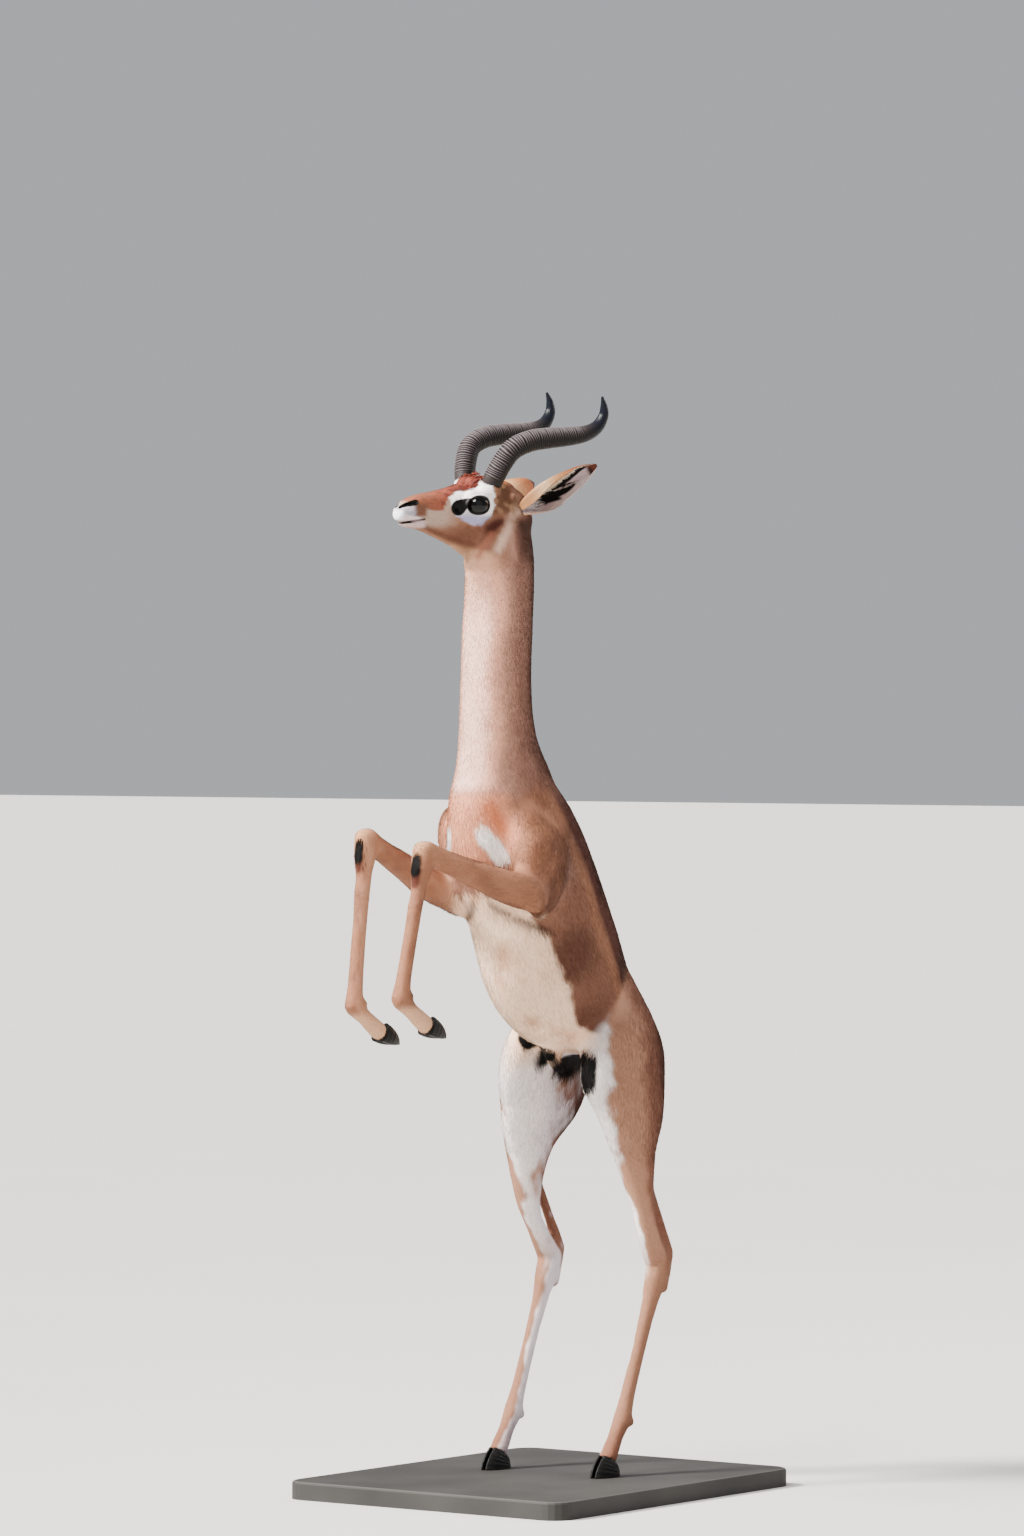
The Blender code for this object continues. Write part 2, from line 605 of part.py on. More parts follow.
def head_mesh():
    left = head_axes()[1]
    shells = [barrel([section(0, *row) for row in NECK], 26, bulge=(0.3, 0.3)),
              barrel([head_section(*row) for row in SKULL], 32, 0.006, (0.2, 0.55), 0.40, 2.25, left),
              barrel([head_section(*row) for row in JAW], 24, 0.006, (0.3, 0.75), 0.45, 2.2, left)]
    shells += head_lump((0.109, 0.0288, 0.0168), (0.0170, 0.0290, 0.0262))
    shells += head_lump((0.105, 0.0285, 0.0360), (0.0135, 0.0220, 0.0085), (-0.15, 0.3, 1))
    shells += head_lump(EYE, (EYE_RADIUS + LID,) * 3)
    shells += head_lump((0.080, 0.0215, -0.028), (0.0160, 0.0320, 0.0380), (-0.5, 0, 1))
    shells += head_lump((0.087, 0.0345, 0.0465), (0.0200, 0.0205, 0.0185), (-0.2, 0.25, 1))
    shells += head_lump((0.028, 0.0320, 0.018), (0.0150, 0.0190, 0.021))
    shells += head_lump((0.235, 0.0080, 0.002), (0.0085, 0.0110, 0.0125), (-0.2, 0, 1))
    shells += head_lump((0.2345, 0.0085, 0.0120), (0.0065, 0.0070, 0.0090), (-0.8, 0.2, 0.5))
    shells += head_lump((0.228, 0.0, -0.0165), (0.0085, 0.0100, 0.0065), twin=False)
    shells += head_lump((0.045, 0.0, 0.046), (0.022, 0.030, 0.013), twin=False)
    return fuse(mesh_object("head", shells), HEAD_VOXEL)


def body_mesh():
    shells = trunk_shells()
    for side in SIDES:
        shells += foreleg_shells(side) + hindleg_shells(side)
    return fuse(mesh_object("body", shells), BODY_VOXEL)


HORN = [  # x, y, z, radius
    (0.0885, 0.0270, 0.0370, 0.0085), (0.0862, 0.0372, 0.0530, 0.0165), (0.0755, 0.0505, 0.0883, 0.0180),
    (0.0600, 0.0590, 0.1120, 0.0178), (0.0292, 0.0635, 0.1262, 0.0176), (-0.0084, 0.0650, 0.1320, 0.0170),
    (-0.0460, 0.0670, 0.1358, 0.0157), (-0.0780, 0.0700, 0.1410, 0.0137), (-0.1000, 0.0725, 0.1520, 0.0116),
    (-0.1115, 0.0745, 0.1705, 0.0090), (-0.1110, 0.0760, 0.1880, 0.0062), (-0.1050, 0.0780, 0.2040, 0.0020),
]
HORN_RINGS = 19


def horn_mesh(name, k):
    """A horn swept along its curve, with rings that stand out most on its front."""
    rows = finer([(*on_head((x, y * k, z)), r * HEAD_SCALE, 0, 0) for x, y, z, r in HORN], 0.0012)
    run = np.concatenate([[0], np.cumsum(np.linalg.norm(np.diff(rows[:, :3], axis=0), axis=1))])
    start, end = 0.034, run[-1] * 0.76
    pitch = (end - start) / HORN_RINGS
    stops = [0.0, 0.020]
    for i in range(HORN_RINGS):
        stops += [start + pitch * (i + q) for q in (0.0, 0.42)]
    stops += list(np.linspace(end, run[-1], 9))
    stops = np.array(stops)
    centre = np.stack([np.interp(stops, run, rows[:, i]) for i in range(3)], 1)
    radius = np.interp(stops, run, rows[:, 3])
    wave = np.zeros(len(stops))
    for i in range(HORN_RINGS):
        for q, height in enumerate((-0.6, 0.9)):
            wave[2 + 2 * i + q] = height * (1 - 0.5 * i / HORN_RINGS)
    tangent = np.gradient(centre, axis=0)
    tangent /= np.linalg.norm(tangent, axis=1)[:, None]
    out = turned((0, 1, 0))
    across = out - tangent * (tangent @ out)[:, None]
    across /= np.linalg.norm(across, axis=1)[:, None]
    front = np.cross(across, tangent)
    front *= np.sign(front[3] @ turned((1, 0, 0)))
    sides = 12
    angle = np.arange(sides) * 2 * math.pi / sides
    c, s = np.cos(angle), np.sin(angle)
    rise = 0.0016 * wave[:, None] * (0.42 + 0.58 * np.clip(s, -0.3, 1))[None] * (radius / 0.018)[:, None]
    size = radius[:, None] + rise
    rings = (centre[:, None] + across[:, None] * (size * c * 0.94)[..., None]
             + front[:, None] * (size * s)[..., None])
    return coloured(closed_rings(name, rings), HORN_GREY, 0.45)


EAR = {1: ((0.025, 0.0365, 0.0150), (-0.092, 0.093, 0.0915), (0.13, 0.86, -0.49)),
       -1: ((0.025, -0.0365, 0.0165), (-0.100, -0.094, 0.050), (0.60, -0.62, -0.30))}
EAR_PROFILE = (  # share of the length, half width, half angle of the rolled section, wall
    (0.00, 0.0115, 150, 0.0100), (0.10, 0.0160, 142, 0.0088), (0.20, 0.0212, 128, 0.0050),
    (0.32, 0.0250, 112, 0.0034), (0.46, 0.0254, 98, 0.0028), (0.60, 0.0240, 88, 0.0025),
    (0.73, 0.0208, 78, 0.0023), (0.84, 0.0155, 70, 0.0020), (0.93, 0.0090, 62, 0.0017),
    (0.985, 0.0033, 55, 0.0014),
)
EAR_COLUMNS = 8
EAR_SEAT_ROWS = 5


def ear_rings(k):
    """The outer and inner points of each section of a cupped ear: a rolled blade, open toward its tip."""
    root, tip, opening = EAR[k]
    root, tip = on_head(root), on_head(tip)
    along = unit(tip - root)
    reach = np.linalg.norm(tip - root)
    face = turned(opening)
    face = unit(face - along * (face @ along))
    across = np.cross(along, face)
    v = np.linspace(-1, 1, EAR_COLUMNS + 1)
    outer, inner = [], []
    for share, half, spread, wall in EAR_PROFILE:
        bow = 0.004 * math.sin(math.pi * share)
        middle = root + along * reach * share - face * bow
        spread = math.radians(spread)
        radius = half / (math.sin(spread) if spread < math.pi / 2 else 1)
        thick = wall * (1 - 0.55 * np.abs(v) ** 3)
        turn = spread * v
        hollow = np.maximum(radius - thick, radius * 0.08)
        for store, r in ((outer, np.full_like(v, radius)), (inner, hollow)):
            store.append(middle + across * (np.sin(turn) * r)[:, None]
                         - face * (np.cos(turn) * r - radius * 0.55)[:, None])
    return np.array(outer), np.array(inner)


def ear_mesh(name, k):
    outer, inner = ear_rings(k)
    rows, width = len(outer), EAR_COLUMNS + 1
    points = np.vstack([outer.reshape(-1, 3), inner.reshape(-1, 3)])
    offset = rows * width
    faces = []
    for i in range(rows - 1):
        for j in range(EAR_COLUMNS):
            a, b, c, d = i * width + j, i * width + j + 1, (i + 1) * width + j + 1, (i + 1) * width + j
            faces += [(a, b, c), (a, c, d),
                      (offset + c, offset + b, offset + a), (offset + d, offset + c, offset + a)]
        for j in (0, EAR_COLUMNS):
            a, d = i * width + j, (i + 1) * width + j
            faces.append((a, d, offset + d, offset + a) if j == 0 else (d, a, offset + a, offset + d))
    for i in (0, rows - 1):
        for j in range(EAR_COLUMNS):
            a, b = i * width + j, i * width + j + 1
            faces.append((b, a, offset + a, offset + b) if i == 0 else (a, b, offset + b, offset + a))
    return coloured(mesh_object(name, [(points, faces)]), TAN, 0.75)


def ear_seat(k):
    """The space that an ear's root takes up in the head, its cup filled."""
    return closed_rings("ear", ear_rings(k)[0][:EAR_SEAT_ROWS])


def ball(name, centre, radius, segments=14, rings=9):
    bm = bmesh.new()
    bmesh.ops.create_uvsphere(bm, u_segments=segments, v_segments=rings, radius=radius,
                              matrix=Matrix.Translation(Vector(centre)))
    mesh = bpy.data.meshes.new(name)
    bm.to_mesh(mesh)
    bm.free()
    obj = bpy.data.objects.new(name, mesh)
    bpy.context.scene.collection.objects.link(obj)
    return obj


def grown(obj, name, by):
    """A copy whose surface lies further out by this much."""
    copy = bpy.data.objects.new(name, obj.data.copy())
    bpy.context.scene.collection.objects.link(copy)
    co = points_of(copy)
    normals = np.empty(len(co) * 3, np.float32)
    copy.data.vertices.foreach_get("normal", normals)
    put_points(copy, co + normals.reshape(-1, 3) * by)
    return copy


# Tail, knee brushes and forehead tuft: flat tapered locks

def lock(root, tip, bend, width, face, stations=4, sides=5):
    """A flat bending lock of hair that tapers to a point."""
    root, tip, bend, face = (np.asarray(v, float) for v in (root, tip, bend, face))
    rows = []
    for share in np.linspace(0, 1, stations):
        size = width * (0.75 + 0.6 * share - 1.35 * share**2.2)
        place = root + (tip - root) * share + bend * math.sin(math.pi * share)
        rows.append((*place, max(size, width * 0.08), size * 0.42))
    rows = np.array(rows)
    tangent = np.gradient(rows[:, :3], axis=0)
    tangent /= np.linalg.norm(tangent, axis=1)[:, None]
    across = np.cross(tangent, face)
    across /= np.linalg.norm(across, axis=1)[:, None]
    normal = np.cross(across, tangent)
    angle = np.arange(sides) * 2 * math.pi / sides
    rings = (rows[:, None, :3] + across[:, None] * (rows[:, 3:4] * np.cos(angle))[..., None]
             + normal[:, None] * (np.maximum(rows[:, 4:5], width * 0.06) * np.sin(angle))[..., None])
    return closed_rings("lock", rings)


TAIL = [(0.0, 0.052, 0.765, 0.013), (0.0, 0.082, 0.742, 0.0125), (0.0, 0.100, 0.700, 0.0110),
        (0.0, 0.106, 0.650, 0.0095), (0.0, 0.107, 0.610, 0.0105), (0.0, 0.105, 0.575, 0.0115),
        (0.0, 0.100, 0.530, 0.0080), (0.0, 0.097, 0.498, 0.0035)]


def tail_mesh():
    rows = [(*lifted((x, y, z)), r, r * 0.8, r * 0.8) for x, y, z, r in TAIL]
    core = mesh_object("tail", [sweep(rows, (1, 0, 0), 8, 0.026, (0.5, 0.5))])
    locks = []
    for i in range(8):
        turn = i * 2.4
        out = np.array([math.cos(turn), math.sin(turn) * 0.8, 0])
        top = lifted((0, 0.106, 0.612 - 0.011 * i)) + out * 0.0065
        end = lifted((0, 0.096, 0.545 - 0.010 * i - 0.004 * (i % 3))) + out * (0.014 - 0.0009 * i)
        locks.append(lock(top, end, out * 0.004, 0.0075, out))
    return combine(core, locks, "UNION")


BRUSH_LOCKS = (  # place across the leg, distance of the root below the knee, length
    (-0.6, 0.010, 0.034), (0.6, 0.008, 0.036), (-0.25, 0.002, 0.044), (0.25, 0.004, 0.042),
    (0.0, 0.016, 0.040),
)


# Assembly

def soft_weights(co):
    """How strongly the body is smoothed at each point: fully on the trunk, lightly on the lower legs."""
    p = co - lifted((0, 0, 0))
    weight = np.full(len(p), 0.9)
    weight[p[:, 2] < 0.50] = 0.45
    weight[p[:, 2] < 0.40] = 0.22
    for side in SIDES:
        elbow = np.array(mirrored(ELBOW[side], side))
        knee = np.array(mirrored(FORE_KNEE[side], side))
        axis = knee - elbow
        share = ((p - elbow) @ axis) / (axis @ axis)
        fore = (share > 0.25) & (p[:, 1] < -0.36) & (np.abs(p[:, 0] - knee[0]) < 0.10)
        fore &= (p[:, 2] < 1.085) & (p[:, 2] > 0.60)
        near = np.linalg.norm(np.cross(p - elbow, axis), axis=1) / np.linalg.norm(axis)
        fore &= (near < 0.045) | (p[:, 1] < -0.44)
        weight[fore] = 0.22
    return weight


def cut_planes():
    """Where the body is parted: name, centre, normal, radius."""
    cuts = [("neck", lifted((0, -0.285, 1.172)), (0, -0.20, 0.98), 0.125)]
    for side in SIDES:
        cuts.append(("thigh", lifted(mirrored((0.068, -0.035, 0.705), side)), (0.87 * side, 0, -0.49), 0.175))
        cuts.append(("knee", lifted(mirrored((0.1, -0.06, 0.572), side)), (0, -0.25, -0.97), 0.115))
        hock = between(HOCK[side], HOCK[side], 0, (0, 0.004, -0.010))
        cuts.append(("hock", lifted(mirrored(hock, side)), (0, 0.10, -1), 0.06))
        cuts.append(("hind_coronet", *coronet("hind", side), 0.034))
        elbow, knee = np.array(ELBOW[side]), np.array(FORE_KNEE[side])
        cuts.append(("elbow", lifted(mirrored(between(elbow, knee, 0.36), side)),
                     (knee - elbow) * (side, 1, 1), 0.055))
        fetlock = np.array(FORE_FETLOCK[side])
        cuts.append(("knee", lifted(mirrored(between(knee, knee, 0, (0, 0.002, 0.001)), side)),
                     (knee - elbow) * (side, 1, 1) + (fetlock - knee) * (side, 1, 1), 0.044))
        cuts.append(("fore_coronet", *coronet("fore", side), 0.034))
    return cuts


def seeds():
    found = {"torso": lifted((0, -0.15, 0.98)), "neck": lifted((0, -0.29, 1.33))}
    for side, word in SIDES.items():
        hock, knee = HOCK[side], FORE_KNEE[side]
        found[f"hindleg_thigh_{word}"] = lifted(mirrored((0.092, -0.05, 0.660), side))
        found[f"hindleg_shank_{word}"] = lifted(mirrored((0.105, -0.03, 0.460), side))
        cannon = between(hock, hock, 0, np.array(METATARSUS) * 0.6)
        found[f"hindleg_cannon_{word}"] = lifted(mirrored(cannon, side))
        found[f"foreleg_forearm_{word}"] = lifted(mirrored(between(ELBOW[side], knee, 0.70), side))
        found[f"foreleg_cannon_{word}"] = lifted(mirrored(between(knee, FORE_FETLOCK[side], 0.55), side))
        for kind in ("fore", "hind"):
            centre, out = coronet(kind, side)
            found[f"drop_{kind}_{word}"] = centre + out * 0.010
    return found


def part_body(body):
    cutters = [disc(centre, normal, radius) for _, centre, normal, radius in cut_planes()]
    combine(body, cutters, "DIFFERENCE")
    pieces = pieces_of(body)
    places = seeds()
    taken = {}
    for name, seed in places.items():
        best = min(range(len(pieces)), key=lambda i: np.linalg.norm(pieces[i][0] - seed, axis=1).min())
        taken.setdefault(best, []).append(name)
    for i, names in taken.items():
        if names[0].startswith("drop_"):
            continue
        coloured(mesh_object(names[0], [pieces[i]]), TAN, 0.7)
    bpy.data.objects.remove(body)


def stand():
    bm = bmesh.new()
    corner, outline = BASE_CORNER, []
    for cx, cy, start in ((1, 1, 0), (-1, 1, 90), (-1, -1, 180), (1, -1, 270)):
        for step in range(6):
            a = math.radians(start + step * 18)
            outline.append((cx * (BASE_WIDTH / 2 - corner) + corner * math.cos(a),
                            cy * (BASE_LENGTH / 2 - corner) + corner * math.sin(a)))
    rings = []
    for z, inset in ((0, 0.0), (BASE_TOP - 0.004, 0.0), (BASE_TOP - 0.0012, 0.0012), (BASE_TOP, 0.004)):
        narrow, short = 1 - 2 * inset / BASE_WIDTH, 1 - 2 * inset / BASE_LENGTH
        rings.append([bm.verts.new((x * narrow, y * short, z)) for x, y in outline])
    bm.faces.new(rings[0][::-1])
    bm.faces.new(rings[-1])
    for low, high in zip(rings, rings[1:]):
        for i in range(len(low)):
            j = (i + 1) % len(low)
            bm.faces.new((low[i], low[j], high[j], high[i]))
    mesh = bpy.data.meshes.new("stand_base")
    bm.to_mesh(mesh)
    bm.free()
    obj = bpy.data.objects.new("stand_base", mesh)
    bpy.context.scene.collection.objects.link(obj)
    return coloured(obj, BASE_GREY, 0.5)


def on_skin(tree, start, direction):
    """Where a ray from inside the head leaves its skin."""
    hit = tree.ray_cast(Vector(start), Vector(direction))[0]
    return np.array(hit)


def mouth_cutter(tree):
    """A thin tube along the line where the lips meet, from one corner of the mouth round to the other."""
    rows = []
    for share in np.linspace(-1, 1, 13):
        bend = abs(share)
        x = 0.240 - 0.040 * max(0.0, bend - 0.22) / 0.78
        z = -0.0135 + 0.0060 * max(0.0, bend - 0.20) ** 1.3 / 0.80**1.3
        turn = math.radians(90) * min(1.0, bend / 0.22) * (1 if share > 0 else -1)
        start = on_head((x - 0.012 * math.cos(turn), 0, z))
        hit = on_skin(tree, start, turned((math.cos(turn), math.sin(turn), 0)))
        radius = 0.0012 * (1 - 0.55 * bend**4)
        rows.append((*(hit + turned((math.cos(turn), math.sin(turn), 0)) * 0.0002), radius, radius, radius))
    return mesh_object("mouth", [sweep(rows, turned((0, 0, 1)), 6, 0.007, (0.8, 0.8))])


NOSTRIL = (  # a slit from its inner to its outer end: x, y, z, radius
    (0.2460, 0.0040, 0.0105, 0.0014), (0.2420, 0.0090, 0.0150, 0.0027), (0.2350, 0.0140, 0.0180, 0.0026),
    (0.2250, 0.0180, 0.0195, 0.0012))


def nostril_cutter(tree, k):
    rows = []
    for x, y, z, radius in NOSTRIL:
        direction = turned(unit((x - 0.222, y, z - 0.006)) * (1, k, 1))
        hit = on_skin(tree, on_head((0.222, 0, 0.004)), direction)
        rows.append((*(hit - direction * 0.0004), radius, radius, radius))
    return mesh_object("nostril", [sweep(rows, turned((0, 0, 1)), 6, 0.005, (0.8, 0.8))])


def gland_cutter(tree, k):
    hit = on_skin(tree, on_head((0.1455, 0, 0.0085)), turned((0, k, 0.06)))
    hollow = lump(hit, (0.0026, 0.0034, 0.0065), turned((1, 0, 0.10)), turned((0, k, 0)), 8, 4)
    return mesh_object("gland", [hollow])


def opening_cutter(k):
    """An almond that parts the lids in front of the eye, turned as far forward as the eye looks."""
    centre = np.array((EYE[0], EYE[1] * k, EYE[2]))
    look = unit((EYE_LOOK[0], EYE_LOOK[1] * k, EYE_LOOK[2]))
    level = unit(np.cross(look, (0, 0, 1)) * k)
    upright = np.cross(level, look) * k
    rings = []
    for reach, grow in ((0.008, 1.0), (0.034, 1.25)):
        ring = []
        for step in range(16):
            a = math.radians(step * 22.5)
            narrow = 1 - 0.20 * abs(math.cos(a)) ** 5
            along = LID_OPENING[0] * math.cos(a) * grow
            rise = (LID_OPENING[1] if math.sin(a) > 0 else LID_OPENING[2]) * math.sin(a) * grow * narrow
            ring.append(on_head(centre + look * reach + level * along + upright * (rise - 0.06 * along)))
        rings.append(np.array(ring))
    return closed_rings("opening", rings)


FOREHEAD_LOCKS = (  # x forward and y left of the root, length back, rise of the tip over the skin
    (0.1180, -0.0200, 0.024, 0.0060), (0.1205, -0.0125, 0.029, 0.0085), (0.1190, -0.0045, 0.032, 0.0100),
    (0.1215, 0.0040, 0.030, 0.0095), (0.1190, 0.0120, 0.028, 0.0085), (0.1175, 0.0195, 0.024, 0.0060))


def forehead_tuft(tree):
    """Locks that lie back over the forehead and rise against the horns."""
    locks = []
    for x, y, reach, rise in FOREHEAD_LOCKS:
        ends = [on_skin(tree, on_head((at, y * spread, 0.010)), turned((0, 0, 1)))
                for at, spread in ((x, 1), (x - reach, 1.15))]
        up = turned(unit((0.2, y * 12, 1)))
        locks.append(lock(ends[0] - up * 0.0020, ends[1] + up * rise, up * 0.0022, 0.0062, up, 5))
    return locks


def finish_head():
    head = head_mesh()
    head = soften(head, np.full(len(head.data.vertices), 0.7), 6)
    trimmed(head, lifted((0, 0, NECK_PLANE + GAP)), (0, 0, -1))
    keep_largest(head)
    thin_out(head, HEAD_TRIANGLES)
    bm = bmesh.new()
    bm.from_mesh(head.data)
    tree = BVHTree.FromBMesh(bm)
    bm.free()
    combine(head, forehead_tuft(tree), "UNION")
    cutters = [mouth_cutter(tree)]
    for k, side in SIDES.items():
        centre = on_head((EYE[0], EYE[1] * k, EYE[2]))
        eye = coloured(ball(f"eye_{side}", centre, EYE_RADIUS), EYE_BLACK, 0.1)
        cutters += [nostril_cutter(tree, k), gland_cutter(tree, k), opening_cutter(k)]
        cutters.append(ball("socket", centre, EYE_RADIUS + GAP + 0.0003))
        horn = horn_mesh(f"horn_{side}", k)
        ear_mesh(f"ear_{side}", k)
        filled = ear_seat(k)
        cutters += [grown(horn, "seat", GAP), grown(filled, "seat", GAP * 1.5)]
        bpy.data.objects.remove(filled)
    combine(head, cutters, "DIFFERENCE")
    keep_largest(head)
    return coloured(head, TAN, 0.7)


def knee_brush(side):
    """Locks of dark hair that lie down the front of a folded foreleg, from the knee."""
    knee, fetlock = np.array(FORE_KNEE[side]), np.array(FORE_FETLOCK[side])
    down = unit(fetlock - knee)
    locks = []
    for across, drop, reach in BRUSH_LOCKS:
        out = np.array([across, -1.0, 0.10])
        root = knee + down * drop + unit(out) * 0.014
        tip = knee + down * (drop + reach) + unit(out * (0.7, 1, 1)) * 0.0195
        face = unit(out) * (side, 1, 1)
        ends = [lifted(mirrored(end, side)) for end in (root, tip)]
        locks.append(lock(*ends, face * 0.004, 0.0058, face))
    return locks


if __name__ == "__main__":
    clear_scene()
    body = body_mesh()
    body = soften(body, soft_weights(points_of(body)), 40)
    trimmed(body, lifted((0, 0, NECK_PLANE)), (0, 0, 1))
    thin_out(body, BODY_TRIANGLES)
    part_body(body)
    for k, side in SIDES.items():
        cannon = combine(bpy.data.objects[f"foreleg_cannon_{side}"], knee_brush(k), "UNION")
        combine(cannon, [grown(bpy.data.objects[f"foreleg_forearm_{side}"], "seat", GAP)], "DIFFERENCE")
        coloured(keep_largest(cannon), TAN, 0.7)
        for outer, word in ((1, "outer"), (-1, "inner")):
            hind_claw(f"hoof_hind_{side}_{word}", k, outer * k)
            fore_claw(f"hoof_fore_{side}_{word}", k, outer * k)
    tail = coloured(tail_mesh(), TAN, 0.7)
    torso = combine(bpy.data.objects["torso"], [grown(tail, "seat", GAP)], "DIFFERENCE")
    coloured(keep_largest(torso), TAN, 0.7)
    stand()
    finish_head()
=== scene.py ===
"""The looks of a male gerenuk that stands upright on its hind legs, forelegs folded, on a flat display base.

Metres, +Z up. The animal faces -Y and its left side is +X, as in the frame that is loaded first.
"""
import math

import bpy
import numpy as np
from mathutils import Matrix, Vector


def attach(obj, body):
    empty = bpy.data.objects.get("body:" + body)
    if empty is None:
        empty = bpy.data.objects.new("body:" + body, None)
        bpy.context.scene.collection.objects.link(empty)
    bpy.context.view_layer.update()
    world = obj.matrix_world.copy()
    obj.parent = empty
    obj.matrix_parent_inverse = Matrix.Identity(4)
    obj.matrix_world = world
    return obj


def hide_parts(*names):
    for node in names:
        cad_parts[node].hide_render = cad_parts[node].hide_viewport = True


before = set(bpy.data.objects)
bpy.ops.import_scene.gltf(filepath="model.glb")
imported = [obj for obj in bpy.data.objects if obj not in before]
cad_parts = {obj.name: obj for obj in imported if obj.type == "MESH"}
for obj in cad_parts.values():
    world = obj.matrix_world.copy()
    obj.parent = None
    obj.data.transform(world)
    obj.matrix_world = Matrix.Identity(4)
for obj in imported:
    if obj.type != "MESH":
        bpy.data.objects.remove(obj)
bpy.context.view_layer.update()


# The camera stands level with the animal's chest, twelve metres away, in front of its left side,
# as in the photograph. Its lens keeps the photograph's frame, with the animal right of the middle.

CAMERA_AZIMUTH = math.radians(36)
CAMERA_DISTANCE = 12.0
CAMERA_HEIGHT = 1.320
FRAME_HEIGHT = 1536            # pixels of the photograph, to which the next three values belong
PIXELS_PER_METRE = 600.0
AXIS_PIXEL = (600, 691)
CENTRE_PIXEL = (512, 768)
SENSOR = 36.0
FOOT = np.array([0, 0.165, 0.030])   # where the animal's own zero, level with its soles, lies over the base

photographer = bpy.data.objects.new("camera", bpy.data.cameras.new("camera"))
bpy.context.scene.collection.objects.link(photographer)
bpy.context.scene.camera = photographer
view_line = Vector((-math.sin(CAMERA_AZIMUTH), math.cos(CAMERA_AZIMUTH), 0))
photographer.location = Vector((0, FOOT[1], CAMERA_HEIGHT)) - view_line * CAMERA_DISTANCE
photographer.rotation_euler = (math.pi / 2, 0, CAMERA_AZIMUTH)
photographer.data.sensor_fit = "VERTICAL"
photographer.data.sensor_height = SENSOR
photographer.data.sensor_width = SENSOR
photographer.data.lens = SENSOR * PIXELS_PER_METRE * CAMERA_DISTANCE / FRAME_HEIGHT
photographer.data.shift_x = (CENTRE_PIXEL[0] - AXIS_PIXEL[0]) / FRAME_HEIGHT
photographer.data.shift_y = (AXIS_PIXEL[1] - CENTRE_PIXEL[1]) / FRAME_HEIGHT


# The horns: keratin sheaths, ringed in front where they thicken and smooth and dark at their tips.
# Each is a round profile carried along one S-shaped curve, with its rings raised in the profile.


def mm(*rows):
    """Rows of numbers given in millimetres, in metres."""
    return np.round(np.array(rows, float) / 1000, 6)


HEAD_PLACE = mm(10, -242, 1578) + FOOT
HEAD_YAW, HEAD_ROLL = math.radians(17.0), math.radians(4.5)
HEAD_SCALE = 0.982
HEAD_FORWARD = np.array([-math.sin(HEAD_YAW), -math.cos(HEAD_YAW), 0])
HEAD_LEFT = (np.array([math.cos(HEAD_YAW), -math.sin(HEAD_YAW), 0]) * math.cos(HEAD_ROLL)
             - np.array([0, 0, math.sin(HEAD_ROLL)]))
HEAD_UP = np.cross(HEAD_FORWARD, HEAD_LEFT)
HEAD_AXES = np.array([HEAD_FORWARD, HEAD_LEFT, HEAD_UP])
SIDES = {"left": 1, "right": -1}

HORN = mm(  # x forward, y out, z up, radius, in the head's own frame
    (88.5, 27, 37, 8.5), (86.2, 37.2, 53, 16.5), (75.5, 50.5, 88.3, 18),
    (60, 59, 112, 17.8), (29.2, 63.5, 126.2, 17.6), (-8.4, 65, 132, 17),
    (-46, 67, 135.8, 15.7), (-78, 70, 141, 13.7), (-100, 72.5, 152, 11.6),
    (-111.5, 74.5, 170.5, 9), (-111, 76, 188, 6.2), (-105, 78, 204, 2))
HORN_RINGS = 54
HORN_RINGS_FROM, HORN_RINGS_TO = 0.085, 0.76     # shares of the length
HORN_RING_RISE = 0.0014
HORN_GRID = (780, 40)
HORN_FRONT_ROW = 60        # a row near the root, where the horn's front is read off
HORN_FLAT = 0.94           # its width over its depth


def on_head(points):
    """Places of the head's own frame (x forward, y left, z up) in the model."""
    return HEAD_PLACE + (np.asarray(points, float) * HEAD_SCALE) @ HEAD_AXES


def in_head(points):
    """The reverse of on_head."""
    return (np.asarray(points, float) - HEAD_PLACE) @ HEAD_AXES.T / HEAD_SCALE


def between(places, known, rows):
    """The columns of some rows, read at places between the known places of the rows, along straight lines."""
    return np.stack([np.interp(places, known, column) for column in rows.T], 1)


def smooth_path(rows, count):
    """Rows read at even lengths along the Catmull-Rom curve through the given rows, whose first three values
    are a place."""
    rows = np.asarray(rows, float)
    ends = np.vstack([2 * rows[0] - rows[1], rows, 2 * rows[-1] - rows[-2]])
    t = np.linspace(0, len(rows) - 1, len(rows) * 40)
    i = np.minimum(t.astype(int), len(rows) - 2)
    f = (t - i)[:, None]
    a, b, c, d = (ends[i + k] for k in range(4))
    fine = 0.5 * (2 * b + (c - a) * f + (2 * a - 5 * b + 4 * c - d) * f**2 + (3 * b - a - 3 * c + d) * f**3)
    run = np.concatenate([[0], np.cumsum(np.linalg.norm(np.diff(fine[:, :3], axis=0), axis=1))])
    return between(np.linspace(0, run[-1], count), run, fine)


def unit(vectors):
    """Each vector divided by its length."""
    vectors = np.asarray(vectors, float)
    return vectors / np.maximum(np.linalg.norm(vectors, axis=-1, keepdims=True), 1e-12)


def carried(path, aside, across, rise):
    """A grid of points: at each place of a path, across * a + rise * b, where a lies at right angles to the
    path on the given side and b at right angles to both."""
    along = unit(np.gradient(path, axis=0))
    a = unit(aside - along * (along @ np.asarray(aside))[:, None])
    b = np.cross(a, along)
    return path[:, None] + a[:, None] * across[..., None] + b[:, None] * rise[..., None]


